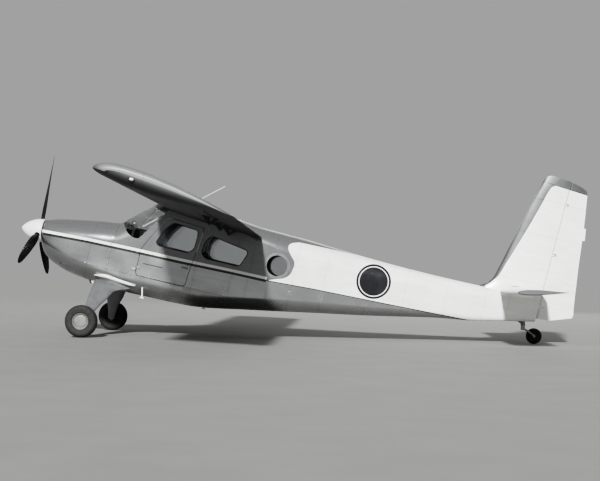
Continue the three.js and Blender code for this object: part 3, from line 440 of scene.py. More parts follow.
floor_paint, tree, shader = fresh_material("matt studio floor")
spots = add(tree, "TexNoise", {"Vector": add(tree, "TexCoord", out="Object"), "Scale": 1.4, "Detail": 8.0})
shade = add(tree, "Mix", {0: spots, 6: linear("#8a8a88"), 7: linear("#979795")}, **BLEND)
fill(tree, shader, {"Base Color": shade, "Roughness": 0.85})
clear_selection()
bpy.ops.mesh.primitive_plane_add(size=160, location=(0, 40, -0.002))
floor = named("studio_floor")
bpy.ops.object.transform_apply(location=True)
floor.data.materials.append(floor_paint)
floor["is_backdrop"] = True

# %% [markdown]
# ## Painted aluminium
# The airframe is riveted sheet under semi-gloss enamel, with a little aluminium flake in
# the grey. Masking tape left hard edges between the colours, so an edge is a line across
# the side view, kept in a curve. Under the paint, sheets meet in narrow seams with a row
# of rivets on each side, and the skin between the frames is never perfectly flat.

# %% Level coordinates, masks and paint edges in a shader
EDGE_BLUR = 0.6                     # mm, half the width over which a taped edge changes


def level_place(tree):
    """Level-frame coordinates in millimetres: one vector, then x, y and z."""
    lift = math.sin(GROUND_ANGLE) * WHEEL_RADIUS
    drop = math.cos(GROUND_ANGLE) * WHEEL_RADIUS
    place = add(tree, "Mapping", {
        "Vector": add(tree, "TexCoord", out="Object"), "Scale": (1000, 1000, 1000),
        "Rotation": (0, -GROUND_ANGLE, 0),
        "Location": (-AXLE_X * math.cos(GROUND_ANGLE) + lift, 0, -AXLE_X * math.sin(GROUND_ANGLE) - drop)})
    parts = add(tree, "SeparateXYZ", {"Vector": place}).node.outputs
    return place, parts["X"], parts["Y"], parts["Z"]


def joined(tree, masks, setting):
    """Masks joined into one: MOST is one where any of them is, TIMES where all of them are."""
    found = masks[0]
    for mask in masks[1:]:
        found = add(tree, "Math", (found, mask), **setting)
    return found


def distance(tree, run, rise):
    """How far a point lies from a centre, from its two distances to it."""
    return add(tree, "VectorMath", (add(tree, "CombineXYZ", (run, rise)),), out="Value", operation="LENGTH")


def past_edge(tree, run, across, table, handles="VECTOR", drop=0):
    """One above a taped paint edge, drawn through (run, across) points and let down by drop."""
    low, high = min(v for _, v in table), max(v for _, v in table) + 1
    first, last = table[0][0], table[-1][0]
    t = add(tree, "MapRange", {"Value": run, "From Min": first, "From Max": last})
    edge = add(tree, "FloatCurve", {"Value": t})
    shape = edge.node.mapping.curves[0]
    shape.points[0].location = (0, (table[0][1] - low) / (high - low))
    shape.points[1].location = (1, (table[-1][1] - low) / (high - low))
    for r, v in table[1:-1]:
        shape.points.new((r - first) / (last - first), (v - low) / (high - low))
    for point in shape.points:
        point.handle_type = handles
    edge.node.mapping.update()
    height = add(tree, "MapRange", {"Value": edge, "To Min": low, "To Max": high})
    over = add(tree, "Math", (across, height), **MINUS)
    return add(tree, "MapRange", {"Value": over, "From Min": -EDGE_BLUR - drop, "From Max": EDGE_BLUR - drop})


print("a taped edge is blurred over, mm:", 2 * EDGE_BLUR)

# %% [markdown]
# The enamel itself is one recipe: a colour that may change from place to place, dust that
# gathers low down, seams and rivets in the relief, and a gloss that varies with the dust.

# %% The enamel recipe
PATCH = 420                         # mm across a patch of dust
DUST_TOP, DUST_FOOT = 950, 560      # heights between which it thickens
SHEET_WAVE = 260                    # mm between frames, where thin sheet bows
GRIT = 3.5                          # mm, orange peel drawn coarser than real so that it shows
RIVET_PITCH, RIVET_RADIUS = 34, 3.2
DUST, SEAM_DARK, RIVET_DARK = linear("#77736c"), linear("#2d2d2d"), linear("#4b4b4b")


def lines_at(tree, axis, places, half):
    """One on narrow lines where a coordinate equals any of the given places."""
    lines = [add(tree, "Math", (axis, place, half), operation="COMPARE") for place in places]
    return joined(tree, lines, MOST)


def rivet_rows(tree, across, run, places, apart=15):
    """Dots along both sides of each seam."""
    step = add(tree, "Math", (run, RIVET_PITCH), operation="FLOORED_MODULO")
    step = add(tree, "Math", (step, RIVET_PITCH / 2), **MINUS)
    rows = []
    for place in places:
        off = add(tree, "Math", (add(tree, "Math", (across, place), **MINUS),), **SIZE)
        off = add(tree, "Math", (off, apart), **MINUS)
        rows.append(add(tree, "MapRange", {"Value": distance(tree, off, step), "From Min": RIVET_RADIUS,
                                           "From Max": RIVET_RADIUS - 1.2}))
    return joined(tree, rows, MOST)


def enamel(name, colours, seams, rows, metallic=0.35, roughness=0.34, coat=0.35):
    """Semi-gloss paint on riveted sheet: colours, seams and rows are made on the level place."""
    material, tree, shader = fresh_material(name)
    place, x, y, z = level_place(tree)
    colour, shine = colours(tree, x, y, z)
    seam, dots = seams(tree, x, y, z), rows(tree, x, y, z)

    patches = add(tree, "TexNoise", {"Vector": place, "Scale": 1 / PATCH, "Detail": 7.0, "Roughness": 0.62})
    streaks = add(tree, "Mapping", {"Vector": place, "Scale": (1 / 900, 1 / 40, 1 / 55)})
    streaks = add(tree, "TexNoise", {"Vector": streaks, "Scale": 1.0, "Detail": 5.0})
    low = add(tree, "MapRange", {"Value": z, "From Min": DUST_TOP, "From Max": DUST_FOOT,
                                 "To Min": 0.12, "To Max": 0.75})
    dusty = add(tree, "MapRange", {"Value": patches, "From Min": 0.42, "From Max": 0.7})
    dust = add(tree, "Math", (low, dusty), **TIMES)
    shade = add(tree, "Mix", {0: dust, 6: colour, 7: DUST}, **BLEND)
    stain = add(tree, "MapRange", {"Value": streaks, "From Min": 0.35, "From Max": 0.75,
                                   "To Min": 1.03, "To Max": 0.93})
    stain = add(tree, "CombineColor", (stain, stain, stain))
    shade = add(tree, "Mix", {0: 1.0, 6: shade, 7: stain}, blend_type="MULTIPLY", **BLEND)
    for mask, share, dark in ((seam, 0.45, SEAM_DARK), (dots, 0.16, RIVET_DARK)):
        shade = add(tree, "Mix", {0: add(tree, "Math", (mask, share), **TIMES), 6: shade, 7: dark}, **BLEND)

    rough = add(tree, "MapRange", {"Value": dust, "To Min": roughness, "To Max": roughness + 0.3})
    uneven = add(tree, "MapRange", {"Value": patches, "To Min": -0.06, "To Max": 0.08})
    if isinstance(shine, bpy.types.NodeSocket):
        shine = add(tree, "Math", (shine, metallic), **TIMES)
    else:
        shine *= metallic

    waves = add(tree, "TexNoise", {"Vector": place, "Scale": 1 / SHEET_WAVE, "Detail": 1.0})
    peel = add(tree, "TexNoise", {"Vector": place, "Scale": 1 / GRIT, "Detail": 2.0})
    bumps = add(tree, "Bump", {"Height": waves, "Strength": 0.16, "Distance": 0.012})
    for height, strength, depth, sunk in ((peel, 0.03, 0.0006, False), (dots, 0.5, 0.0012, False),
                                          (seam, 0.7, 0.002, True)):
        bumps = add(tree, "Bump", {"Height": height, "Strength": strength, "Distance": depth,
                                   "Normal": bumps}, invert=sunk)
    fill(tree, shader, {
        "Base Color": shade, "Roughness": add(tree, "Math", (rough, uneven), **PLUS), "Metallic": shine,
        "Coat Weight": coat, "Coat Roughness": 0.22, "Normal": bumps})
    return material


print("rivet pitch, mm:", RIVET_PITCH)

# %% [markdown]
# ## Fuselage colours
# Grey above a white arrow stripe, a brighter grey with more flake below it, a thin dark
# line under the stripe, and a white rear half whose front edge curves round the aft
# window. The brighter grey below the stripe is painted reflection of the lit ground.
# Aft of the wing the deck stays grey a little longer than the side. A plain dark
# disc with a thin white ring stands on each side of the boom.

# %% Fuselage paint
# The brighter grey below the stripe is painted reflection of the lit ground.
GREY, PAINTED_REFLECTION_GREY = linear("#7b7c7d"), linear("#a4a5a6")
WHITE, LINE_GREY = linear("#efefed"), linear("#3c3d3d")
# The tail's grey is the body grey made darker as painted shade, since the fin faces the key light.
TAIL_GREY_WITH_PAINTED_SHADE = linear("#595a5b")
UPPER_FLAKE = 0.55                  # of the flake in the brighter grey
DISC_DARK = linear("#232429")
STRIPE_TOP = [(-1150, 1222), (-351, 1262), (412, 1277), (1165, 1284), (2000, 1304), (2700, 1312)]
STRIPE_DEPTH, LINE_DEPTH, STRIPE_END = 45, 83, 2590
FIELD_FRONT = [(1240, 2560), (1310, 2740), (1361, 2869), (1430, 2938), (1516, 2965), (1600, 2972),
               (1649, 2960), (1700, 2918), (1758, 2867), (1820, 2825), (1877, 2813), (1915, 2835),
               (1945, 2890), (1990, 3090)]
FIELD_LOW = [(2540, 1258), (2872, 1275), (3301, 1297), (4359, 1328), (5418, 1363), (5900, 1378), (6100, 1380)]
FIELD_TOP = [(3000, 1972), (3525, 1984), (3900, 1990), (4300, 2040)]
FIELD_LINE, ALL_WHITE_DECK, ALL_WHITE_STERN = 13, 4290, 6080
SEAMS_X = [-294, 54, 1440, 2035, 2300, 2630, 3000, 3500, 4215, 4800, 5467, 6100, 6484]
SEAMS_Z = [850]
DISC, DISC_RADIUS = (4272, 1632), 282          # a plain disc on each side of the boom
RING_IN, RING_HALF = 44, 7


def fuselage_colours(tree, x, y, z):
    """White stripe and field, the dark line below them, painted reflection in brighter grey below the stripe,
    grey elsewhere.
    """
    top, foot, line_foot = [past_edge(tree, x, z, STRIPE_TOP, drop=drop)
                            for drop in (0, STRIPE_DEPTH, LINE_DEPTH)]
    below_top = add(tree, "Math", (1, top), **MINUS)
    fore = add(tree, "Math", (x, STRIPE_END), operation="LESS_THAN")
    aft = add(tree, "Math", (1, fore), **MINUS)
    stripe = joined(tree, (below_top, foot, fore), TIMES)
    band = joined(tree, (below_top, line_foot, fore), TIMES)

    field = past_edge(tree, z, x, FIELD_FRONT, "AUTO")
    field_foot, edge = [past_edge(tree, x, z, FIELD_LOW, drop=drop) for drop in (0, FIELD_LINE)]
    stern = add(tree, "Math", (x, ALL_WHITE_STERN), operation="GREATER_THAN")
    deck = add(tree, "Math", (1, past_edge(tree, x, z, FIELD_TOP)), **MINUS)
    deck = joined(tree, (deck, add(tree, "Math", (x, ALL_WHITE_DECK), operation="GREATER_THAN")), MOST)
    white = joined(tree, (field, joined(tree, (field_foot, stern), MOST), deck), TIMES)
    belly = joined(tree, (add(tree, "Math", (1, field_foot), **MINUS), aft), TIMES)

    dark = joined(tree, (band, joined(tree, (edge, belly), TIMES)), MOST)
    bright = joined(tree, (stripe, white), MOST)
    # lower: below the stripe and on the aft belly, where the brighter grey is painted reflection of the
    # ground
    lower = joined(tree, (add(tree, "Math", (1, line_foot), **MINUS), fore), TIMES)
    lower = joined(tree, (lower, belly), MOST)
    reach = distance(tree, *[add(tree, "Math", pair, **MINUS) for pair in ((x, DISC[0]), (z, DISC[1]))])
    disc = add(tree, "MapRange", {"Value": reach, "From Min": DISC_RADIUS, "From Max": DISC_RADIUS - 1.5})
    ring = add(tree, "Math", (reach, DISC_RADIUS - RING_IN, RING_HALF), operation="COMPARE")
    disc = add(tree, "Math", (disc, ring), **MINUS)
    colour = GREY
    for mask, paint in ((lower, PAINTED_REFLECTION_GREY), (dark, LINE_GREY), (bright, WHITE), (disc, DISC_DARK)):
        colour = add(tree, "Mix", {0: mask, 6: colour, 7: paint}, **BLEND)
    flake = add(tree, "MapRange", {"Value": lower, "To Min": UPPER_FLAKE})
    return colour, joined(tree, (flake, add(tree, "Math", (1, bright), **MINUS)), TIMES)


def fuselage_seams(tree, x, y, z):
    """Frames every few hundred millimetres, and one lap along the lower side."""
    return joined(tree, (lines_at(tree, x, SEAMS_X, 1.3), lines_at(tree, z, SEAMS_Z, 1.3)), MOST)


def fuselage_rows(tree, x, y, z):
    """Rivets beside the seams; height less side distance runs round the girth."""
    girth = add(tree, "Math", (z, add(tree, "Math", (y,), **SIZE)), **MINUS)
    return joined(tree, (rivet_rows(tree, x, girth, SEAMS_X[1:]), rivet_rows(tree, z, x, SEAMS_Z)), MOST)


fuselage_paint = enamel("fuselage enamel", fuselage_colours, fuselage_seams, fuselage_rows,
                        metallic=0.9, roughness=0.23, coat=0.2)
print("shader nodes:", len(fuselage_paint.node_tree.nodes))

# %% [markdown]
# The tail is white apart from a grey leading edge and cap, whose grey is made darker than
# the body's as painted shade. Wing and tailplane follow the same recipe, each with its own
# tones and seams.

# %% Tail, wing and plain paints
FIN_BAND = [(1990, 6060), (2055, 6131), (2117, 6178), (2179, 6224), (2421, 6309), (2774, 6429), (3136, 6546),
            (3518, 6660), (3713, 6715), (3790, 6750), (3822, 6791), (4000, 6900)]
CAP_LINE = [(6400, 3877), (7700, 3780)]
BAND_LINE, CAP_LINE_DEPTH = 11, 16
TAIL_SEAMS, TAIL_ROWS = [2200, 2990, 3560], [2200, 2600, 2990, 3280, 3560]


def tail_colours(tree, x, y, z):
    """White behind the leading edge band and under the cap, with a thin line between."""
    behind, outline = [past_edge(tree, z, x, FIN_BAND, "AUTO", drop) for drop in (0, BAND_LINE)]
    cap, line = [past_edge(tree, x, z, CAP_LINE, drop=drop) for drop in (0, CAP_LINE_DEPTH)]
    white = joined(tree, (behind, add(tree, "Math", (1, cap), **MINUS)), TIMES)
    line = joined(tree, [add(tree, "Math", pair, **MINUS) for pair in ((line, cap), (outline, behind))], MOST)
    # the band and cap grey carries painted shade
    colour = add(tree, "Mix", {0: white, 6: TAIL_GREY_WITH_PAINTED_SHADE, 7: WHITE}, **BLEND)
    colour = add(tree, "Mix", {0: line, 6: colour, 7: LINE_GREY}, **BLEND)
    return colour, add(tree, "Math", (1, white), **MINUS)


tail_paint = enamel("tail enamel", tail_colours, lambda tree, x, y, z: lines_at(tree, z, TAIL_SEAMS, 1.2),
                    lambda tree, x, y, z: rivet_rows(tree, z, x, TAIL_ROWS))

WING_RIBS = [660 + 305 * i for i in range(17)]
WING_STRINGERS = [905, 1200, 1700]
# The dark wing tone is painted shade on the underside and the lower half of each tip.
WING_GREY, WING_PAINTED_SHADE, SLAT_GREY = linear("#7d7e7f"), linear("#38393a"), linear("#858687")
WING_SLOPE, WING_RISE, WING_PLANE = math.tan(math.radians(6.1)), math.tan(math.radians(1)), 2151


def wing_rows(tree, x, y, z):
    """Rib and spar rivets, seen on the flat of the skin."""
    out = add(tree, "Math", (y,), **SIZE)
    ribs = rivet_rows(tree, out, x, WING_RIBS, apart=0)
    return joined(tree, (ribs, rivet_rows(tree, x, y, WING_STRINGERS)), MOST)


def wing_colours(tree, x, y, z):
    """Grey on top, and dark below the line where the tip is widest: that dark is painted shade."""
    out = add(tree, "Math", (y,), **SIZE)
    height = add(tree, "Math", (x, WING_SLOPE, z), operation="MULTIPLY_ADD")
    height = add(tree, "Math", (out, -WING_RISE, height), operation="MULTIPLY_ADD")
    # painted shade: dark below the tip's widest line
    under = add(tree, "MapRange", {"Value": height, "From Min": WING_PLANE + 95, "From Max": WING_PLANE - 45},
                interpolation_type="SMOOTHSTEP")
    return add(tree, "Mix", {0: under, 6: WING_GREY, 7: WING_PAINTED_SHADE}, **BLEND), 1.0


wing_paint = enamel("wing enamel", wing_colours,
                    lambda tree, x, y, z: lines_at(tree, x, WING_STRINGERS[:2], 1.1), wing_rows,
                    metallic=0.25, roughness=0.5, coat=0.06)
slat_paint = enamel("slat enamel", lambda tree, x, y, z: (SLAT_GREY, 1.0),
                    lambda tree, x, y, z: lines_at(tree, x, WING_STRINGERS[:1], 1.1), wing_rows,
                    metallic=0.2, roughness=0.55, coat=0.05)
TAIL_TIP_Y, TAIL_TIP_GREY = 2282, linear("#6c6d6e")
PLANE_SEAMS = [6420, 6700, 6930]


def tailplane_colours(tree, x, y, z):
    """White, with a grey cap on each tip."""
    tip = add(tree, "Math", (add(tree, "Math", (y,), **SIZE), TAIL_TIP_Y), operation="GREATER_THAN")
    return add(tree, "Mix", {0: tip, 6: WHITE, 7: TAIL_TIP_GREY}, **BLEND), tip


tailplane_paint = enamel("tailplane enamel", tailplane_colours,
                         lambda tree, x, y, z: lines_at(tree, x, PLANE_SEAMS[1:], 1.1),
                         lambda tree, x, y, z: rivet_rows(tree, x, y, PLANE_SEAMS))
print("paints:", fuselage_paint.name, tail_paint.name, wing_paint.name)

# %% [markdown]
# ## Body sections
# Cowl, cabin and boom are one smooth form: flat sides that turn into rounded corners,
# measured at the stations below. Each section is a ring of points, and a smooth curve
# through the stations gives the ring anywhere in between.

# %% Body sections
# x, bottom, top, half width, bottom corner width and height, top corner width and height
STATIONS = [
    [-1198, 1096, 1380, 198, 177, 128, 177, 128], [-1168, 1000, 1388, 318, 290, 180, 280, 170],
    [-1098, 862, 1415, 412, 370, 250, 360, 230], [-992, 771, 1444, 462, 410, 300, 400, 270],
    [-840, 704, 1475, 492, 420, 310, 410, 290], [-620, 637, 1514, 520, 410, 300, 410, 300],
    [-294, 590, 1569, 548, 390, 280, 400, 310], [54, 556, 1621, 566, 370, 260, 390, 320],
    [170, 548, 1728, 572, 360, 255, 380, 380], [300, 541, 1836, 575, 350, 250, 350, 400],
    [460, 540, 1968, 575, 340, 250, 310, 380], [560, 541, 2054, 575, 340, 250, 280, 300],
    [700, 544, 2132, 575, 340, 250, 250, 220], [900, 546, 2178, 575, 340, 250, 240, 180],
    [1400, 557, 2183, 575, 340, 250, 240, 170], [1700, 588, 2146, 575, 340, 245, 250, 170],
    [2035, 648, 2095, 575, 340, 240, 280, 190], [2300, 699, 2068, 566, 330, 230, 330, 230],
    [2700, 772, 2056, 536, 310, 220, 370, 290], [3000, 828, 2048, 498, 290, 210, 380, 320],
    [3500, 923, 2020, 424, 250, 190, 350, 320], [4215, 1052, 1981, 330, 195, 165, 290, 290],
    [4800, 1170, 1963, 262, 155, 140, 235, 260], [5467, 1303, 1957, 194, 115, 120, 175, 220],
    [5928, 1372, 1962, 152, 90, 100, 138, 190], [6484, 1494, 1985, 104, 62, 80, 92, 150],
    [6972, 1596, 2010, 52, 34, 50, 44, 110]]
CORNER_STEPS = 9


def body_ring(x, inset=0.0):
    """The section of the body at x, pulled in by inset, or pushed out where it is negative."""
    _, low, high, half, low_w, low_h, top_w, top_h = along(STATIONS, x)
    width = half - inset
    low_w, low_h, top_w, top_h = [max(size - inset, 8) for size in (low_w, low_h, top_w, top_h)]
    turn = [(math.cos(a), math.sin(a)) for a in spread(0, math.pi / 2, CORNER_STEPS + 1)]
    flank = [(x, width - low_w * (1 - s), low + inset + low_h * (1 - c)) for c, s in turn]
    flank += [(x, width - top_w * (1 - c), high - inset - top_h * (1 - s)) for c, s in turn]
    return mirrored(flank)


def body_skin(name, x0, x1, inset=0.0, pace=75):
    """A closed length of the body."""
    stops = {x0, x1}
    inside = [row[0] for row in STATIONS if x0 + 4 < row[0] < x1 - 4]
    for a, b in zip([x0, *inside], [*inside, x1]):
        stops.update(spread(a, b, max(2, round((b - a) / pace) + 1)))
    return skin(name, [body_ring(x, inset) for x in sorted(stops)])


def side_at(x, z):
    """Half width of the body's side at a point of the side view."""
    _, low, high, half, low_w, low_h, top_w, top_h = along(STATIONS, x)
    if z < low + low_h:
        t = min(1, (low + low_h - z) / low_h)
        return half - low_w * (1 - math.sqrt(1 - t * t))
    if z > high - top_h:
        t = min(1, (z - high + top_h) / top_h)
        return half - top_w * (1 - math.sqrt(1 - t * t))
    return half


def patch(name, outline, x0, x1, out=1.5, deep=2.0, hole=None, side=0):
    """A piece of skin with the given outline, standing a little proud of the body."""
    piece = cut(body_skin(name, x0, x1, -out), body_skin("inside", x0 - 10, x1 + 10, deep))
    near = {0: (-700, 700), -1: (-700, -120), 1: (120, 700)}[side]
    piece = cut(piece, plate("edge", outline, *near), operation="INTERSECT")
    if hole:
        piece = cut(piece, plate("hole", hole, near[0] - 10, near[1] + 10))
    return piece


print("half width at the door:", side_at(1000, 1500))

# %% [markdown]
# ## Cowling
# Two pressed halves round the engine. Cooling air enters by two oval mouths beside the
# spinner, each with a rounded edge. The hollow is cut by taking a smaller body out of a
# larger one, and the mouths and shaft hole are cut through the nose.

# %% Cowling
HUB = Vector((-1271, 0, 1193))
THRUST_DOWN = math.radians(4)
THRUST = LEVEL @ Matrix.Translation(HUB) @ Matrix.Rotation(-THRUST_DOWN, 4, "Y")
MOUTHS = [(side * 262, 1215) for side in (-1, 1)]
MOUTH_HALF = (85, 67)


def oval(centre, half, x):
    """An upright oval ring at x."""
    return [(x, centre[0] + half[0] * a, centre[1] + half[1] * b) for a, b in circle((0, 0), 1)]


cowl = cut(body_skin("cowl", -1198, 53.4, pace=40), body_skin("cowl_room", -1150, 90, 16))
cowl = cut(cowl, turned("shaft_hole", [(112, -1330), (112, -1100)], 48, (0, 0, 1180), "X"))
for mouth in MOUTHS:
    cowl = cut(cowl, skin("mouth", [oval(mouth, MOUTH_HALF, x) for x in (-1330, -1020)]))
smooth(cowl, 38, 2.5)
fix(cowl, fuselage_paint, replaces=["cowling"])
print("cowl faces:", len(cowl.data.polygons))

# %% [markdown]
# ## Cabin
# A hollow shell with its openings cut through. The windscreen wraps the whole front, a
# door and a fixed pane share the left side, and the right side has them the other way
# round. Outlines are side views, with their corners rounded the way a file would.

# %% Cabin shell
WINDSHIELD = [(68, 1700), (68, 1664), (100, 1634), (140, 1590), (172, 1550), (205, 1510), (250, 1468),
              (320, 1430), (400, 1419), (445, 1428), (550, 1571), (628, 1697), (690, 1778), (752, 1858),
              (782, 1922), (758, 1948), (560, 2006), (524, 2030), (500, 2060)]
FRONT_DOOR = [(520, 860), (520, 1290), (722, 1690), (855, 1879), (1436, 1838), (1420, 1655), (1382, 1330),
              (1350, 1100), (1340, 860)]
FRONT_WINDOW = [(725, 1452), (828, 1675), (935, 1815), (1345, 1780), (1362, 1700), (1350, 1470), (1262, 1395),
                (770, 1400)]
REAR_WINDOW = [(1478, 1440), (1495, 1630), (1580, 1748), (2180, 1652), (2208, 1600), (2130, 1392),
               (2085, 1372), (1560, 1372)]
REAR_DOOR = [(1440, 880), (1436, 1690), (1540, 1812), (2205, 1712), (2245, 1620), (2165, 1340), (2040, 940),
             (1990, 880)]
ROUND_WINDOW, ROUND_RADIUS = (2706, 1522), 172
WALL, FLOOR = 30, 700
OUT_Y = 640                         # outside everything on the body
PANE_CORNER = 60


def openings(door_gap, pane_gap, inner):
    """Cutters for the doorway and the pane on each side."""
    found = []
    for side, door, window in ((-1, FRONT_DOOR, REAR_WINDOW), (1, REAR_DOOR, FRONT_WINDOW)):
        for outline, gap in ((door, door_gap), (window, pane_gap)):
            found.append(plate("opening", rounded(grown(outline, gap), PANE_CORNER), *ys(side, inner, OUT_Y)))
    return found


cabin = cut(body_skin("cabin", 54, 3000, pace=60), body_skin("cabin_room", 84, 2970, WALL))
cabin = cut(cabin, plate("screen", WINDSHIELD, -OUT_Y, OUT_Y), *openings(6, 0, 420),
            plate("round_panes", circle(ROUND_WINDOW, ROUND_RADIUS, 64), -OUT_Y, OUT_Y))
smooth(cabin, 36, 1.5)
fix(cabin, fuselage_paint, replaces=["cabin_shell", "cabin_floor"])
print("cabin faces:", len(cabin.data.polygons))

# %% [markdown]
# ## Tail boom
# The same sections run on to the stern post, closed at both ends, with a hole right
# through for the tube that turns the tailplane.

# %% Tail boom
PIVOT = (6488, 1998)
TUBE_HOLE = {"profile": [(33, -300), (33, 300)], "segments": 32, "centre": (PIVOT[0], 0, PIVOT[1])}
boom = body_skin("boom", 3000.3, 6972, pace=120)
boom = cut(boom, turned("tube_hole", **TUBE_HOLE))
smooth(boom, 36)
fix(boom, fuselage_paint, replaces=["tail_boom"])
print("boom faces:", len(boom.data.polygons))

# %% [markdown]
# ## Wing section
# One section serves the whole span. It is kept as a table of upper and lower heights and
# read on the square root of the distance from the nose, so the nose comes out round.
# A few corner cuts turn a handful of drawn points into the soft noses of slat and flap.

# %% Wing section
CHORD = 1822
WING_LE = (548, 2092)
INCIDENCE, DIHEDRAL = math.radians(6.1), math.radians(1)
WING_TIP_Y = 5945
AIRFOIL = [(0, 0, 0), (0.006, 0.019, -0.009), (0.02, 0.034, -0.016), (0.05, 0.051, -0.0226),
           (0.1, 0.068, -0.0292), (0.17, 0.0795, -0.037), (0.25, 0.0845, -0.0428), (0.35, 0.086, -0.0449),
           (0.5, 0.079, -0.0417), (0.65, 0.0635, -0.0335), (0.8, 0.0425, -0.0216), (0.9, 0.024, -0.0123),
           (1, 0.003, -0.0013)]
ROOTED = [(math.sqrt(t), u, l) for t, u, l in AIRFOIL]


def skin_height(t, upper):
    """Height of the upper or lower skin at a chord fraction."""
    return along(ROOTED, math.sqrt(max(t, 0)))[1 if upper else 2]


def surface(t0, t1, upper, steps):
    """Points of one skin between two chord fractions, closer together near the nose."""
    return [(t, skin_height(t, upper)) for t in (s * s for s in spread(math.sqrt(t0), math.sqrt(t1), steps))]


def wing_point(u, v, y):
    """A chord-fraction point at a span station, in the level frame."""
    x = WING_LE[0] + CHORD * (u * math.cos(INCIDENCE) + v * math.sin(INCIDENCE))
    z = WING_LE[1] + CHORD * (v * math.cos(INCIDENCE) - u * math.sin(INCIDENCE))
    return (x, y, z + abs(y) * math.tan(DIHEDRAL))


def span_piece(name, outline, y0, y1):
    """A length of the wing's span with the given outline in chord fractions."""
    return skin(name, [[wing_point(u, v, y) for u, v in outline] for y in (y0, y1)])


def eased(points):
    """An open line with its corners cut twice, its ends kept."""
    for _ in range(2):
        softer = [points[0]]
        for a, b in zip(points, points[1:]):
            softer += [(a[0] * (1 - t) + b[0] * t, a[1] * (1 - t) + b[1] * t) for t in (0.25, 0.75)]
        points = [*softer, points[-1]]
    return points


SECTION = [*reversed(surface(0, 1, True, 34)), *surface(0, 1, False, 34)[1:]]
FIXED_NOSE = [(0.166, 0.0775), (0.14, 0.062), (0.105, 0.045), (0.07, 0.025), (0.046, 0.006), (0.038, -0.006),
              (0.046, -0.0165), (0.075, -0.0262)]
FLAP_NOSE = [(0.82, 0.0385), (0.785, 0.034), (0.755, 0.022), (0.742, 0.004), (0.746, -0.012),
             (0.765, -0.0236)]
SLAT_SPAN = [(660, 3070), (3110, 5600)]
FLAP_SPAN, AILERON_SPAN = (640, 4410), (4450, 5600)
AILERON_HINGE, AILERON_NOSE = (0.78, 0.011), 0.0339
FLAP_HINGE = (0.745, -0.078)
GAP = 6 / CHORD

flap_outline = [*eased(FLAP_NOSE), *surface(0.8, 1, False, 10), *reversed(surface(0.84, 1, True, 8))]
aileron_outline = [(AILERON_HINGE[0] + AILERON_NOSE * math.cos(math.radians(a)),
                    AILERON_HINGE[1] + AILERON_NOSE * math.sin(math.radians(a))) for a in spread(82, 274, 22)]
aileron_outline += [*surface(0.8, 1, False, 10), *reversed(surface(0.81, 1, True, 10))]
slat_room = grown([*FIXED_NOSE, (0.3, -0.043), (0.3, 0.085)], GAP)[1:7]
slat_outline = [*reversed(surface(0, 0.16, True, 14)), *surface(0, 0.05, False, 8)[1:],
                *eased(list(reversed(slat_room)))]
print("section points:", len(SECTION))

# %% [markdown]
# ## Wing panels
# Each panel is one long skin from the root to a tip that is fullest near its top edge,
# with the underside swept up to it. The rooms for slats, flap and aileron are cut out of
# it, as deep as those parts need to move, and the tracks of the slats get a slot each.

# %% Wing panels
# out, thickness above and below the fullest line, front and rear chord fractions
TIP = [(0, 1, 1, 0, 1), (110, 1, 0.96, 0, 1), (200, 0.99, 0.86, 0.002, 0.999), (258, 0.94, 0.7, 0.008, 0.996),
       (300, 0.83, 0.5, 0.02, 0.99), (322, 0.68, 0.34, 0.038, 0.98), (335, 0.5, 0.2, 0.062, 0.966),
       (341, 0.3, 0.1, 0.085, 0.953), (342, 0.14, 0.05, 0.1, 0.945)]
TIP_LENGTH, TIP_CREST = 342, 0.62
TRACK_TILT, TRACK_LENGTH = INCIDENCE - math.radians(10), 250


def track(name, y, grow=0.0):
    """A straight bar on the slat that slides in a slot of the wing's nose."""
    x, _, z = wing_point(0.012, 0.003, y)
    half, tall = 8 + grow, 11 + grow
    piece = skin(name, [[(a, b, c) for b, c in ((-half, -tall), (half, -tall), (half, tall), (-half, tall))]
                        for a in (-grow, TRACK_LENGTH + grow)])
    piece.data.transform(Matrix.Translation((x, y, z)) @ Matrix.Rotation(TRACK_TILT, 4, "Y"))
    return piece


def track_places(span, side):
    """Where a slat's two tracks stand."""
    return [side * (span[0] + (span[1] - span[0]) * t) for t in (0.18, 0.82)]


def tip_ring(side, out, over, under, front, rear):
    """A section near the tip, squeezed towards its fullest line."""
    ring = []
    for u, v in SECTION:
        low, high = skin_height(u, False), skin_height(u, True)
        crest = low + (high - low) * TIP_CREST
        v = crest + (v - crest) * (over if v > crest else under)
        ring.append(wing_point(front + (rear - front) * u, v, side * (WING_TIP_Y - TIP_LENGTH + out)))
    return ring


def wing_panel(side):
    """One wing, cut for everything that moves on it."""
    rings = [[wing_point(u, v, side * 575.3) for u, v in SECTION]]
    for out in (0, 60, 110, 160, 200, 230, 258, 280, 300, 312, 322, 329, 335, 339, 341, 342):
        rings.append(tip_ring(side, *along(TIP, out)))
    panel = skin("wing", rings)
    front_cut = [(0.166, 0.12), *eased(FIXED_NOSE), (0.075, -0.06), (-0.05, -0.06), (-0.05, 0.12)]
    for inner, outer in SLAT_SPAN:
        cut(panel, span_piece("slat_room", front_cut, side * (inner - 8), side * (outer + 8)))
        for y in track_places((inner, outer), side):
            cut(panel, track("slot", y, 1.5))
    for outline, (inner, outer) in ((flap_outline, FLAP_SPAN), (aileron_outline, AILERON_SPAN)):
        cut(panel, span_piece("room", grown(outline, GAP), side * (inner - 8), side * (outer + 8)))
    return smooth(panel, 30)


for side, word in SIDES:
    panel = wing_panel(side)
    panel.name = "wing_panel_" + word
    fix(panel, wing_paint, replaces=["wing_" + word])
print("wing faces:", len(panel.data.polygons))

# %% [markdown]
# ## Slats, flaps and ailerons
# These are short spans of their own outlines, closed at the ends by pressed ribs. The
# slats carry their tracks. Flaps hang on arms below the wing, ailerons turn on pins.

# %% Slats, flaps and ailerons
FLAP_BRACKETS = (0.1, 0.5, 0.9)


def pin(name, hinge, y0, y1, radius):
    """A boss or pin on a hinge line of the wing."""
    return rod(name, [wing_point(*hinge, y0), wing_point(*hinge, y1)], radius, 24)


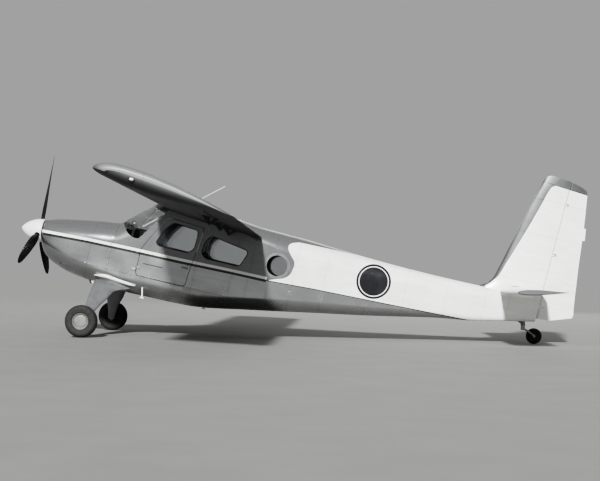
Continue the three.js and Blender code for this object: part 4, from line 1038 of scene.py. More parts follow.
def flap_arm(y, side, on_flap):
    """Half of a flap hinge: a thin arm with a boss at its tip."""
    hu, hv = FLAP_HINGE
    r = 0.0075
    if on_flap:
        outline = [(hu - r, hv), (hu + r, hv - r * 0.4), (0.81, -0.014), (0.778, -0.01)]
    else:
        outline = [(hu, hv - r), (hu + r, hv), (0.731, -0.024), (0.66, -0.026)]
    sides = (y + 8, y + 16) if on_flap else (y - 16, y - 8)
    ends = (y + 0.3, y + 16) if on_flap else (y - 16, y - 0.3)
    arm = smooth(span_piece("arm", outline, *(side * s for s in sides)), 32, 1.2)
    return merge("flap_arm", arm, pin("boss", FLAP_HINGE, *(side * e for e in ends), 14))


for side, word in SIDES:
    for where, span in zip(("inner", "outer"), SLAT_SPAN):
        blade = smooth(span_piece("slat", slat_outline, side * span[0], side * span[1]), 34)
        tracks = [smooth(track("track", y), 32, 1) for y in track_places(span, side)]
        slat = merge(f"slat_{where}_{word}_skin", blade, *tracks)
        settle(slat, f"slat_{where}_{word}", slat_paint, replaces=[f"slat_{where}_{word}"])
    stations = [FLAP_SPAN[0] + (FLAP_SPAN[1] - FLAP_SPAN[0]) * t for t in FLAP_BRACKETS]
    flap = smooth(span_piece("flap", flap_outline, *(side * y for y in FLAP_SPAN)), 32)
    flap = merge(f"flap_{word}_skin", flap, *[flap_arm(y, side, True) for y in stations])
    settle(flap, f"flap_{word}", wing_paint, replaces=[f"flap_{word}"])
    brackets = merge(f"flap_brackets_{word}", *[flap_arm(y, side, False) for y in stations])
    fix(brackets, wing_paint)
    aileron = span_piece(f"aileron_{word}_skin", aileron_outline, *(side * y for y in AILERON_SPAN))
    settle(smooth(aileron), f"aileron_{word}", wing_paint, replaces=[f"aileron_{word}"])
    pins = merge(f"aileron_pins_{word}", pin("in", AILERON_HINGE, side * 4440, side * 4449.4, 10),
                 pin("out", AILERON_HINGE, side * 5600.6, side * 5610, 10))
    fix(pins, wing_paint)
print("moving wing pieces:", 8)

# %% [markdown]
# ## Tail
# Fin and rudder share one tapering section, read at heights from a table. The fin's root
# runs forward in a small fillet. The rudder nose is a half round that follows the hinge
# line, with notches for the three hinges.

# %% Fin and rudder
FIN = [(1930, 5880, 7543, 62), (1990, 6002, 7537, 62), (2045, 6080, 7530, 62), (2110, 6142, 7522, 61),
       (2200, 6178, 7512, 60), (2360, 6219, 7495, 58), (2527, 6263, 7476, 55), (3256, 6420, 7410, 43),
       (3858, 6596, 7335, 33), (3990, 6640, 7316, 26)]
FIN_SIDE = [(5890, 1900), (7200, 1900), (7200, 3938), (7041, 3949), (6900, 3970), (6751, 3982), (6690, 3974),
            (6640, 3945), (6602, 3887), (6560, 3700), (6200, 2300), (6100, 2040), (5890, 1950)]
RUDDER_SIDE = [(6900, 1640), (7199, 1668), (7553, 1790), (7561, 1876), (7450, 2990), (7420, 3265),
               (7345, 3806), (7335, 3856), (7233, 3902), (7120, 3933), (6900, 3960)]
HINGES_Z = (1850, 2720, 3560)


def hinge_x(z):
    """The rudder's hinge line at a height."""
    return 7022 + 48 * (z - 1640) / 2300


def tail_thickness(t):
    """Half thickness at a chord fraction, for a section of unit half thickness."""
    t = max(t, 0)
    return 10 * (0.2969 * math.sqrt(t) - 0.126 * t - 0.3516 * t ** 2 + 0.2843 * t ** 3 - 0.1036 * t ** 4)


def fin_row(z):
    """Leading edge, trailing edge and half thickness at a height."""
    if z < 1930:
        return [z, 5880, 7543 + (1930 - z) * 0.2, 62]
    return along(FIN, z)


def fin_ring(z):
    """One level ring of the fin, from its nose to the gap ahead of the rudder."""
    _, lead, trail, half = fin_row(z)
    nose = half * tail_thickness((hinge_x(z) - lead) / (trail - lead))
    rear = hinge_x(z) - nose - 8
    flank = []
    for s in spread(0, 1, 22):
        x = lead + (rear - lead) * s ** 1.8
        flank.append((x, max(half * tail_thickness((x - lead) / (trail - lead)), 2), z))
    return mirrored(flank)


def rudder_ring(z):
    """One level ring of the rudder, from its half-round nose to its trailing edge."""
    _, lead, trail, half = fin_row(z)
    pivot = hinge_x(z)
    nose = half * tail_thickness((pivot - lead) / (trail - lead))
    flank = [(pivot - nose * math.cos(a), nose * math.sin(a) + 0.5, z) for a in spread(0, math.pi / 2, 9)]
    for x in spread(pivot, trail, 11)[1:]:
        flank.append((x, max(half * tail_thickness((x - lead) / (trail - lead)), 2.5), z))
    return mirrored(flank)


fin_heights = [*spread(1930, 2360, 16), *spread(2450, 3990, 18)]
fin = skin("fin_skin", [fin_ring(z) for z in fin_heights])
fin = cut(fin, body_skin("under", 5600, 7100, SNUG), turned("tube_hole", **TUBE_HOLE))
fin = cut(fin, plate("trim", [*FIN_SIDE[:2], *eased(FIN_SIDE[2:10]), *FIN_SIDE[10:]], -200, 200),
          operation="INTERSECT")
smooth(fin, 34)
fix(fin, tail_paint, replaces=["fin", "fin_cap"])

rudder_heights = [1600, *spread(1660, 3990, 26)]
rudder = skin("rudder_skin", [rudder_ring(z) for z in rudder_heights])
corner = rounded(RUDDER_SIDE, 25)[6:24]
rudder = cut(rudder, plate("trim", [RUDDER_SIDE[0], *corner, *eased(RUDDER_SIDE[4:10]), RUDDER_SIDE[10]],
                           -200, 200),
             operation="INTERSECT")
for z in HINGES_Z:
    x = hinge_x(z)
    notch = [(x - 80, z - 22), (x + 24, z - 22), (x + 24, z + 22), (x - 80, z + 22)]
    cut(rudder, plate("notch", notch, -80, 80))
smooth(rudder, 32)
tab = smooth(plate("tab", [(7380, 3262), (7446, 3254), (7470, 3064), (7390, 3045)], -2, 2), 32, 0.8)
settle(merge("rudder_skin", rudder, tab), "rudder", tail_paint, replaces=["rudder"])

lugs = []
for z in HINGES_Z:
    x = hinge_x(z)
    lugs.append(smooth(plate("lug", [(x - 60, z - 12), (x + 6, z - 10), (x + 6, z + 10), (x - 60, z + 12)],
                             -8, 8), 32, 1.5))
    lugs.append(rod("pin", [(hinge_x(z - 21), 0, z - 21), (hinge_x(z + 21), 0, z + 21)], 7, 20))
fix(merge("rudder_hinge_lugs", *lugs), tail_paint)
print("fin faces:", len(fin.data.polygons))

# %% [markdown]
# The tailplane is one piece that tips about a tube through the stern, so it is drawn flat
# about that tube and set to its parked angle with one extra matrix.

# %% Tailplane
TAIL_CHORD, HALF_SPAN = 744, 2350
PARKED = LEVEL @ Matrix.Translation((PIVOT[0], 0, PIVOT[1])) @ Matrix.Rotation(math.radians(-13), 4, "Y")
PROFILE = [(0, 0), (0.02, 0.022), (0.08, 0.04), (0.2, 0.052), (0.38, 0.053), (0.65, 0.035), (1, 0.003)]


def plane_ring(y, front, rear, thick):
    """A section of the tailplane between two chord fractions."""
    rooted = [(math.sqrt(t), h) for t, h in PROFILE]
    upper = [(s * s, along(rooted, s)[1]) for s in spread(0, 1, 20)]
    points = [*reversed(upper), *[(t, -h) for t, h in upper[1:]]]
    return [(TAIL_CHORD * (front + (rear - front) * t - 0.25), y, TAIL_CHORD * h * thick) for t, h in points]


PLANE = [(128, 0, 0.9, 1), (420, 0, 1, 1), (HALF_SPAN - 26, 0, 1, 1), (HALF_SPAN - 14, 0.004, 0.998, 0.95),
         (HALF_SPAN - 5, 0.01, 0.994, 0.84), (HALF_SPAN, 0.022, 0.988, 0.66)]
halves = [smooth(skin("half", [plane_ring(side * y, *rest) for y, *rest in PLANE]), 30) for side in (-1, 1)]
tube = rod("tube", [(0, -188, 0), (0, 188, 0)], 32, 32)
settle(merge("tailplane_skin", *halves, tube), "tailplane", tailplane_paint, PARKED, replaces=["tailplane"])
print("tailplane span, mm:", 2 * HALF_SPAN)

# %% [markdown]
# ## Finishes for the small parts
# Tyre rubber is matt black in a fine grain, the wheels are cast and painted, the
# blades are matt black aluminium, and the few bare parts are brushed steel. Each reads
# level or object coordinates, so nothing slides when a part turns.

# %% Finishes for the small parts
GRAIN_PATCH, GLOSS_SPREAD = 14, 0.16    # grains across a patch, and how much rougher a patch may be


def speckled(name, dark, light, grain, roughness, metallic=0.0, relief=0.3, depth=0.0004, coat=0.0):
    """A finish of two close tones in a fine random grain, given in millimetres."""
    material, tree, shader = fresh_material(name)
    place = add(tree, "TexCoord", out="Object")
    coarse = add(tree, "TexNoise", {"Vector": place, "Scale": 1000 / (grain * GRAIN_PATCH), "Detail": 6.0,
                                    "Roughness": 0.6})
    fine = add(tree, "TexNoise", {"Vector": place, "Scale": 1000 / grain, "Detail": 3.0})
    both = add(tree, "Mix", {0: 0.4, 2: coarse, 3: fine}, data_type="FLOAT")
    t = add(tree, "MapRange", {"Value": both, "From Min": 0.36, "From Max": 0.64})
    rough = add(tree, "MapRange", {"Value": coarse, "From Min": 0.3, "From Max": 0.7, "To Min": roughness,
                                   "To Max": min(1, roughness + GLOSS_SPREAD)})
    fill(tree, shader, {
        "Base Color": add(tree, "Mix", {0: t, 6: linear(dark), 7: linear(light)}, **BLEND),
        "Roughness": rough, "Metallic": metallic, "Coat Weight": coat,
        "Normal": add(tree, "Bump", {"Height": fine, "Strength": relief, "Distance": depth})})
    return material


tyre_rubber = speckled("vulcanised tyre rubber", "#222222", "#3f3f3e", 4, 0.72)
wheel_enamel = speckled("enamelled cast wheel", "#6a6a68", "#7f7f7d", 5, 0.42, 0.15, coat=0.2)
blade_black = speckled("matt black blade paint", "#0a0a0b", "#161617", 6, 0.4)
bare_steel = speckled("brushed steel", "#6f7072", "#8b8c8e", 2, 0.3, 0.9)
cast_iron = speckled("cast brake metal", "#3b3a38", "#575551", 4, 0.55, 0.6)
# Real rubber on beads, hose, coaming and wheels; the same black also stands as painted shade in slots, the
# drain and the lamp recesses.
black_rubber_and_painted_shade = speckled("window seal rubber and painted shade", "#171717", "#262625", 3, 0.6)
white_enamel = speckled("white enamel", "#e4e4e2", "#f1f1ef", 6, 0.3, 0.0, 0.12, coat=0.4)
pale_alloy = speckled("cast pale alloy", "#8f908f", "#a9aaa9", 3, 0.4, 0.3)
grey_enamel = speckled("grey enamel", "#6c6e6f", "#7c7d7e", 6, 0.32, 0.3, 0.12, coat=0.3)
trim_plastic = speckled("moulded cabin plastic", "#34353a", "#45464a", 1.6, 0.55, relief=0.6)
carpet = speckled("cut pile carpet", "#2a2a2c", "#46464a", 2.4, 0.92, relief=1.0, depth=0.002)
print("finishes:", len(bpy.data.materials))

# %% [markdown]
# ## Propeller and spinner
# Three twisted blades on a round hub. A blade is a stack of thin sections, each turned to
# its own pitch, with a root that turns from round to flat. The spinner is spun aluminium,
# cut away round each blade shank, and held to its backplate by a ring of screws.

# %% Propeller
BLADE_START, PROP_RADIUS = math.radians(4.6), 1266
BLADE = [(70, 64, 64, 50), (180, 66, 58, 48), (270, 112, 34, 42), (420, 152, 22, 34), (700, 166, 15, 25),
         (980, 150, 11, 19), (1150, 118, 9, 16), (1225, 72, 7, 15), (PROP_RADIUS, 24, 5, 15)]
BLADE_ANGLES = [BLADE_START + math.radians(step) for step in (0, -120, 120)]


def blade_ring(r):
    """One section: flat on the back, arched on the front, turned to its pitch."""
    _, chord, thick, pitch = along(BLADE, r)
    flatness = min(1, max(0, (r - 180) / 150))
    ring = []
    for run, rise in circle((0, 0), 1, 28):
        run, rise = chord / 2 * run, thick / 2 * rise
        if rise < 0:
            rise *= 1 - 0.7 * flatness
        p = math.radians(pitch)
        ring.append((-run * math.sin(p) + rise * math.cos(p), run * math.cos(p) + rise * math.sin(p), r))
    return ring


blades = []
blade_stops = [*spread(70, 420, 14), *spread(470, 1150, 14), 1190, 1218, 1242, 1258, PROP_RADIUS]
for angle in BLADE_ANGLES:
    blade = skin("blade", [blade_ring(r) for r in blade_stops])
    blade.data.transform(Matrix.Rotation(-angle, 4, "X"))
    blades.append(smooth(blade, 42))
hub = smooth(turned("hub", [(88, -80), (92, -76), (92, 46)], 48, axis="X"), 32, 1.5)
nut = smooth(turned("nut", [(40, -150), (60, -60)], 32, axis="X"), 32, 1)
settle(merge("propeller_blades", hub, nut, *blades), "propeller", blade_black, THRUST, replaces=["propeller"])
print("blades:", len(blades))

# %% Spinner
SPIN_RADIUS, SPIN_LENGTH, SPIN_BACK = 192, 364, 45.7


def cone(radius, back, length):
    """A pointed ogive as (radius, distance) points from the tip back."""
    return [(radius * math.sin(t) ** 1.5, back - length * math.cos(t)) for t in spread(0.02, math.pi / 2, 26)]


shell = cut(turned("shell", cone(SPIN_RADIUS, SPIN_BACK, SPIN_LENGTH), 72, axis="X"),
            turned("room", cone(SPIN_RADIUS - 4, SPIN_BACK + 4, SPIN_LENGTH - 6), 72, axis="X"))
for angle in BLADE_ANGLES:
    hole = rod("hole", [(-5, 0, 100), (-5, 0, 320)], 47, 40)
    hole.data.transform(Matrix.Rotation(-angle, 4, "X"))
    cut(shell, hole)
smooth(shell, 36, 1)
backplate = smooth(turned("backplate", [(191, 46), (191.5, 54)], 72, axis="X"), 32, 1)
screws = []
for i in range(18):
    screw = turned("screw", [(5, 0), (5, 1.6), (3.6, 2.8)], 12, axis="Z")
    turn = Matrix.Rotation(2 * math.pi * (i + 0.4) / 18, 4, "X")
    screw.data.transform(turn @ Matrix.Translation((34, 0, SPIN_RADIUS - 1.4)))
    screws.append(screw)
settle(merge("spinner_shell", shell, backplate), "propeller", white_enamel, THRUST, replaces=["spinner"])
settle(merge("spinner_screws", *screws), "propeller", bare_steel, THRUST)
print("spinner screws:", len(screws))

# %% [markdown]
# ## Main legs
# Each leg is a cantilever faired like a short wing: broad where it leaves the body, slim
# at the axle, its flat turned to face up and out. It is trimmed against the body, and a
# white strip closes the joint.

# %% Main legs
# z, distance out, front, rear, thickness
LEG = [(-20, 1216, -54, 54, 54), (60, 1150, -62, 76, 56), (240, 938, -78, 128, 60), (380, 770, -94, 196, 66),
       (523, 600, -101, 258, 74), (640, 452, -103, 520, 78), (760, 330, -104, 556, 70)]
LEG_FACE = (0.64, 0.77)
TRACK = 2740


def leg_ring(z, side, grow=0.0):
    """A section of the leg: blunt in front, thin behind."""
    _, y, front, rear, thick = along(LEG, z)
    ring = []
    for run, rise in circle((0, 0), 1, 36):
        half = (thick / 2 + grow) * rise
        ring.append(((front + rear) / 2 + ((rear - front) / 2 + grow) * run,
                     side * (y + half * LEG_FACE[0]), z + half * LEG_FACE[1]))
    return ring


def leg_room(side):
    """The leg a millimetre thicker, to trim what meets it."""
    return skin("leg_room", [leg_ring(z, side, 1.0) for z in spread(-20, 760, 30)])


# x, height of its middle, width
STRIP = [(-124, 704, 14), (-60, 714, 44), (60, 727, 68), (200, 716, 68), (360, 699, 60), (480, 688, 52),
         (562, 684, 14)]
for side, word in SIDES:
    leg = skin("leg_" + word, [leg_ring(z, side) for z in [-20, -8, *spread(30, 760, 30)]])
    leg = cut(leg, body_skin("body", -700, 1400, SNUG))
    fix(smooth(leg, 36), grey_enamel, replaces=["gear_leg_" + word])
    rings = []
    for x in spread(STRIP[0][0], STRIP[-1][0], 24):
        _, z, height = along(STRIP, x)
        rings.append([(x, side * (520 + 64 * a), z + height / 2 * b) for a, b in circle((0, 0), 1, 20)])
    strip = cut(skin("root_strip_" + word, rings), body_skin("body", -700, 1400, SNUG), leg_room(side))
    fix(smooth(strip, 40), white_enamel, replaces=["gear_root_fairing_" + word])
print("track, mm:", TRACK)

# %% [markdown]
# ## Wheels
# A tyre is turned from its profile, with four round grooves in the tread and a moulded
# ring on the sidewall. The wheel is a shallow dished disc, held by six bolts, with a disc
# brake on its inner side and a caliper that stays on the axle.

# %% Main wheels
def tyre_profile(radius, width, rim, grooves):
    """Tyre section from the inner bead over the tread to the outer bead."""
    half = width / 2
    middle = (rim + radius) / 2
    side_wall = [(rim, 0.66), (rim + 9, 0.8), (rim + 20, 0.875), (rim + 26, 0.9), (rim + 30, 0.925),
                 (rim + 36, 0.93), (middle, 0.985), (middle + 14, 1.0), (radius - 40, 0.965),
                 (radius - 26, 0.87), (radius - 15, 0.74)]
    outer = [*[(r, half * w) for r, w in side_wall], (radius - 6, half * 0.5)]
    for g in grooves:
        outer += [(radius - 3, g + 4), (radius - 9, g + 2.6), (radius - 9, g - 2.6), (radius - 3, g - 4)]
    crown = []
    for r, w in outer:
        rise = (w / half) ** 2 * 6 if w < half * 0.55 else 0
        crown.append((min(r + 3 - rise if w < half * 0.5 else r, radius), w))
    return [*[(r, -w) for r, w in crown], *[(r, w) for r, w in reversed(crown)]]


def wheel_place(x, y, z, side):
    """A wheel's own frame: its outer face looks away from the body."""
    return GROUND @ Matrix.Translation((x, y, z)) @ facing(side)


WHEEL_DISC = [(25, -52), (100, -52), (104, -56), (117.5, -58), (117.5, 62), (121, 70), (126, 76), (127, 79),
              (125, 81), (120, 80), (113, 74), (106, 67), (101, 63), (97, 62), (94, 65), (86, 68), (60, 70),
              (30, 71), (2, 71)]
CALIPER = [(-44, -92), (40, -92), (46, -60), (-50, -60)]
BRAKE_DISC = [(60, -58), (98, -58), (98, -64), (60, -64), (40, -66), (26, -66), (26, -52), (60, -52)]
for side, word in SIDES:
    body, place = "main_wheel_" + word, wheel_place(0, side * TRACK / 2, WHEEL_RADIUS, side)
    tyre = turned("tyre_skin_" + word, tyre_profile(WHEEL_RADIUS, 176, 118.3, (32, 12)), 72)
    settle(smooth(tyre, 28), body, tyre_rubber, place, replaces=["tyre_" + word])
    ring = [smooth(turned("disc", WHEEL_DISC, 72), 26)]
    for x, z in circle((0, 0), 78, 6):
        bolt = turned("bolt", [(6.5, 0), (6.5, 5), (5.5, 6)], 6)
        bolt.data.transform(Matrix.Translation((x, 68, z)))
        ring.append(bolt)
    ring.append(rod("valve", [(72, 60, 69), (73, 74, 70)], 4, 12))
    settle(merge("wheel_disc_" + word, *ring), body, wheel_enamel, place, replaces=["wheel_" + word])
    settle(smooth(turned("brake_disc_" + word, BRAKE_DISC, 56), 28), body, cast_iron, place)

    axle = [rod("pin", [(0, side * 1232, 0), (0, side * 1404, 0)], 24, 28),
            smooth(turned("flange", [(62, side * 1226), (62, side * 1240)], 40), 32, 1.5)]
    axle = cut(merge("axle_pin_" + word, *axle), leg_room(side))
    fix(axle, bare_steel, replaces=["axle_" + word])
    caliper = plate("caliper_" + word, CALIPER, side * 1268, side * 1318)
    fix(smooth(caliper, 32, 6, 3), cast_iron)
    hose = rod("brake_hose_" + word, [(46, side * 1286, -74), (74, side * 1276, -50), (84, side * 1250, 0),
                                      (78, side * 1200, 70), (84, side * 1120, 124)], 5, 10)
    fix(hose, black_rubber_and_painted_shade)
print("tyre radius, mm:", WHEEL_RADIUS)

# %% [markdown]
# ## Tail wheel
# A small solid-looking wheel in an alloy fork that swivels on a post under the stern.
# The post and its brace end just inside the skin.

# %% Tail wheel
SWIVEL_X, TAIL_X, TAIL_RADIUS = 6966, 7144, 127
post = [rod("post", [(SWIVEL_X, 0, 300), (SWIVEL_X, 0, 480)], 34, 28),
        rod("brace", [(SWIVEL_X - 4, 0, 326), (SWIVEL_X - 190, 0, 450)], 18, 24)]
collar = smooth(turned("collar", [(40, 300), (40, 318)], 36, (SWIVEL_X, 0, 0), "Z"), 32, 2)
fix(merge("tail_bracket", *post, collar), grey_enamel, GROUND, replaces=["tail_wheel_bracket"])

fork = [smooth(turned("head", [(34, 222), (34, 299.5)], 36, (SWIVEL_X, 0, 0), "Z"), 32, 2)]
for side in (-1, 1):
    fork.append(rod("arm", [(SWIVEL_X + 4, side * 56, 246), (SWIVEL_X + 60, side * 59, 220),
                            (TAIL_X - 20, side * 60, 146), (TAIL_X + 14, side * 60, 119)], 13.5, 20))
    boss = turned("boss", [(18, side * 50), (18, side * 70)], 24, (TAIL_X, 0, TAIL_RADIUS))
    fork.append(smooth(boss, 32, 1.5))
yoke = plate("yoke", [(SWIVEL_X - 24, 226), (SWIVEL_X + 24, 226), (SWIVEL_X + 24, 262), (SWIVEL_X - 24, 262)],
             -68, 68)
fork.append(smooth(yoke, 32, 5, 3))
fork.append(rod("pin", [(TAIL_X, -76, TAIL_RADIUS), (TAIL_X, 76, TAIL_RADIUS)], 9, 20))
settle(merge("tail_fork", *fork), "tail_swivel", pale_alloy, GROUND, replaces=["tail_wheel_fork"])

place = wheel_place(TAIL_X, 0, TAIL_RADIUS, 1)
tyre = turned("tail_tyre_skin", tyre_profile(TAIL_RADIUS, 74, 56.3, (9,)), 56)
settle(smooth(tyre, 28), "tail_wheel", tyre_rubber, place, replaces=["tail_tyre"])
TAIL_DISC = [(11, -32), (24, -32), (30, -22), (48, -20), (55.7, -25), (55.7, 25), (48, 20), (30, 22),
             (24, 32), (11, 32)]
disc = turned("tail_wheel_disc", TAIL_DISC, 48)
settle(smooth(disc, 26), "tail_wheel", wheel_enamel, place, replaces=["tail_wheel"])
print("tail wheel, mm:", TAIL_RADIUS)

# %% [markdown]
# ## Doors and glass
# A door is a plate cut from the flat of the side, with its window cut out, hung on two
# knuckle hinges at its front edge. Panes are acrylic sheet: clear, faintly grey, with a
# gloss that shows the sky. A rubber bead runs round every flat side pane.

# %% Clear acrylic
acrylic, tree, shader = fresh_material("clear acrylic sheet")
haze = add(tree, "TexNoise", {"Vector": add(tree, "TexCoord", out="Object"), "Scale": 9.0, "Detail": 6.0})
fill(tree, shader, {
    "Base Color": add(tree, "Mix", {0: haze, 6: linear("#8f9797"), 7: linear("#a3aaaa")}, **BLEND),
    "Roughness": add(tree, "MapRange", {"Value": haze, "To Min": 0.02, "To Max": 0.07}),
    "IOR": 1.49, "Transmission Weight": 1.0, "Alpha": 0.32})
print("clear sheet:", acrylic.name)

# %% Doors
HINGE_OUT, KNUCKLE = 10, 40
DOOR_Y, DOOR_THICK = 575, 30
BEAD_HALF = 5.5
DOOR_HINGES = {"left": (960, 1220), "right": (960, 1420)}


def slab(name, x0, x1, y0, y1, z0, z1, bevel=1.0):
    """A small block with softened edges."""
    piece = plate(name, [(x0, z0), (x1, z0), (x1, z1), (x0, z1)], y0, y1)
    return smooth(piece, 32, bevel) if bevel else piece


def knuckle(x, z, side, on_door):
    """Half of a door hinge: a rolled knuckle and the leaf that is riveted to the skin."""
    y = side * (DOOR_Y + HINGE_OUT)
    z0, z1 = (z + 0.5, z + KNUCKLE) if on_door else (z - KNUCKLE, z)
    reach = 70 if on_door else -70
    parts = [rod("roll", [(x, y, z0), (x, y, z1)], 8, 24),
             slab("leaf", *sorted((x, x + reach)), *ys(side, DOOR_Y + 0.3, DOOR_Y + 8), z0, z1)]
    for share in (0.35, 0.59, 0.83):
        rivet = turned("rivet", [(3.6, 0), (3.4, 1.2), (1.6, 2.2)], 10)
        spot = Matrix.Translation((x + reach * share, side * (DOOR_Y + 8), (z0 + z1) / 2))
        rivet.data.transform(spot @ facing(side))
        parts.append(rivet)
    return merge("knuckle", *parts)


def bead(name, outline, side):
    """A rubber bead that laps the pane and the skin round a window."""
    outline = rounded(outline, PANE_CORNER, 8)
    outer = plate(name, grown(outline, BEAD_HALF), *ys(side, DOOR_Y - 9, DOOR_Y + 3.5))
    return smooth(cut(outer, plate("hole", grown(outline, -BEAD_HALF), -700, 700)), 32, 1.6)


def pane(name, outline, side):
    """A flat pane, five millimetres behind the skin."""
    outline = rounded(grown(outline, -0.5), PANE_CORNER, 8)
    return smooth(plate(name, outline, *ys(side, DOOR_Y - 11, DOOR_Y - 5)))


for (side, word), outline, window in zip(SIDES, (FRONT_DOOR, REAR_DOOR), (FRONT_WINDOW, REAR_WINDOW)):
    body = "door_" + word
    edge, opening = rounded(outline, PANE_CORNER, 8), rounded(window, PANE_CORNER, 8)
    door = plate(body + "_skin", edge, *ys(side, DOOR_Y - DOOR_THICK, DOOR_Y))
    door = smooth(cut(door, plate("hole", opening, -700, 700)), 32, 2.5, 3)
    settle(door, body, fuselage_paint, replaces=[body])
    x = min(x for x, _ in outline) - 10
    for name, on_door, rider in ((body, True, body), ("post_" + word, False, "airframe")):
        hinges = merge(name + "_knuckles", *[knuckle(x, z, side, on_door) for z in DOOR_HINGES[word]])
        settle(hinges, rider, fuselage_paint)
    settle(pane(body + "_pane", window, side), body, acrylic, replaces=[body + "_glass"])
    settle(bead(body + "_bead", window, side), body, black_rubber_and_painted_shade)
    inner = DOOR_Y - DOOR_THICK
    lining = plate(body + "_lining", grown(edge, -24), *ys(side, inner - 4, inner))
    settle(smooth(cut(lining, plate("hole", grown(opening, 10), -700, 700))), body, trim_plastic)

for side, node, outline in ((-1, "rear_window_left", REAR_WINDOW), (1, "front_window_right", FRONT_WINDOW)):
    fix(pane(node + "_pane", outline, side), acrylic, replaces=[node])
    fix(bead(node + "_bead", outline, side), black_rubber_and_painted_shade)
print("doors:", list(DOOR_HINGES))

# %% [markdown]
# The windscreen is bent to the sections of the body, so its pane is a thin slice of the
# skin. The aft windows are round panes in the same curved skin, each in a pressed ring.

# %% Windscreen and round windows
screen = patch("windscreen", grown(WINDSHIELD, -0.5), 58, 900, out=-5, deep=11)
fix(smooth(screen), acrylic, replaces=["windshield"])
softened = rounded(WINDSHIELD, 40, 4)
frame_strip = patch("windscreen_frame", grown(softened, 14), 30, 900, 3.0, 7.0, grown(softened, -13))
fix(smooth(frame_strip, 36, 1), fuselage_paint)
for side, word in SIDES:
    glass = patch("round_pane_" + word, circle(ROUND_WINDOW, ROUND_RADIUS - 0.5, 64), 2400, 2980, -5, 11,
                  side=side)
    fix(smooth(glass), acrylic, replaces=["round_window_" + word])
    ring = patch("round_ring_" + word, circle(ROUND_WINDOW, 208, 72), 2400, 2999, 2.5, 3.0,
                 circle(ROUND_WINDOW, ROUND_RADIUS - 7, 72), side)
    fix(smooth(ring, 36, 1), grey_enamel)
print("windscreen faces:", len(screen.data.polygons))

# %% [markdown]
# ## Inside the cabin
# Through the glass one sees a floor with carpet, dark lined walls, two front seats, a
# bench behind them, and the panel with its round dials and a control wheel on each side.

# %% Floor and lining
carpet_piece = cut(body_skin("carpet", 90, 2960, WALL + 1),
                   slab("room", 0, 3100, -700, 700, FLOOR - 6, FLOOR + 6, 0), operation="INTERSECT")
fix(carpet_piece, carpet)
lining = cut(body_skin("cabin_lining", 96, 2966, WALL + 0.5), body_skin("room", 80, 2990, WALL + 5))
lining = cut(lining, plate("screen", grown(WINDSHIELD, 12), -OUT_Y, OUT_Y), *openings(8, 8, 300),
             plate("round_panes", circle(ROUND_WINDOW, ROUND_RADIUS + 6, 48), -OUT_Y, OUT_Y),
             slab("below", 0, 3100, -700, 700, 300, FLOOR + 6.2, 0))
fix(smooth(lining, 36), trim_plastic)
print("lining faces:", len(lining.data.polygons))

# %% [markdown]
# ## Seats
# The seats are foam pads under dark woven cloth on a tube frame. Foam bulges where nothing
# holds it, so each pad starts a little small, is remeshed, and is blown up by the pressure
# of Blender's cloth, with a cap on how far it may go. Sewn channels are pressed in after
# that, and piping is laid on the finished surface.

# %% Woven cloth
THREAD = 7                          # mm, a basket weave drawn coarser than real so that it shows


def woven(name, dark, light):
    """Cloth whose two sets of threads cross on every face of a pad."""
    material, tree, shader = fresh_material(name)
    place = add(tree, "TexCoord", out="Object")
    waves = []
    for run in add(tree, "SeparateXYZ", {"Vector": place}).node.outputs:
        run = add(tree, "Math", (run, 2000 * math.pi / THREAD), **TIMES)
        waves.append(add(tree, "Math", (run,), operation="SINE"))
    weave = add(tree, "Math", waves[:2], **TIMES)
    for pair in (waves[1:], (waves[2], waves[0])):
        weave = add(tree, "Math", (*pair, weave), operation="MULTIPLY_ADD")
    faded = add(tree, "TexNoise", {"Vector": place, "Scale": 5.0, "Detail": 5.0})
    t = add(tree, "Math", (weave, 0.22, faded), operation="MULTIPLY_ADD")
    fill(tree, shader, {
        "Base Color": add(tree, "Mix", {0: t, 6: linear(dark), 7: linear(light)}, **BLEND),
        "Roughness": 0.92, "Sheen Weight": 0.35,
        "Normal": add(tree, "Bump", {"Height": weave, "Strength": 0.5, "Distance": 0.0012})})
    return material


seat_cloth = woven("woven seat cloth", "#2b2a2a", "#4a4846")
piping_cord = speckled("seat piping", "#1c1c1c", "#2e2d2c", 2, 0.8)
print("thread, mm:", THREAD)

# %% Blown pads
SWELL, PAD_VOXEL, PAD_CAP = 14, 0.011, 0.016
CHANNEL_HALF, CHANNEL_DEEP = 9, 0.007
SEAT_Y = 270


def blown(piece):
    """Blow a pad up with cloth pressure, moving no point further than the cap."""
    keep(piece, "REMESH", mode="VOXEL", voxel_size=PAD_VOXEL)
    before = [vertex.co.copy() for vertex in piece.data.vertices]
    bpy.ops.object.modifier_add(type="CLOTH")
    cloth = piece.modifiers[-1]
    cloth.settings.use_pressure = True
    cloth.settings.uniform_pressure_force = 4
    cloth.settings.effector_weights.gravity = 0
    for step in range(1, 21):
        bpy.context.scene.frame_set(step)
    bpy.ops.object.modifier_apply(modifier=cloth.name)
    bpy.context.scene.frame_set(1)
    for vertex, old in zip(piece.data.vertices, before):
        move = vertex.co - old
        vertex.co = old + move * min(1, PAD_CAP / max(move.length, 1e-6))
    return piece


def pad(name, outline, y0, y1, node, channels):
    """One pad, drawn in side view, with sewn channels across it at places along its length."""
    piece = plate(name, rounded(grown(outline, -SWELL), 34, 5), y0 + SWELL, y1 - SWELL)
    smooth(piece, 40, 24, 4)
    fix(piece, seat_cloth, replaces=[node])
    blown(piece)
    start, end = Vector(outline[0]), Vector(outline[3])
    run = (end - start).normalized()
    normals = [vertex.normal.copy() for vertex in piece.data.vertices]
    for vertex, normal in zip(piece.data.vertices, normals):
        level = LEVEL.inverted() @ vertex.co
        reach = (Vector((level.x, level.z)) - start).dot(run) / (end - start).length
        for channel in channels:
            off = (reach - channel) * (end - start).length / CHANNEL_HALF
            vertex.co -= normal * CHANNEL_DEEP * math.exp(-off * off)
    return smooth(piece, 60)


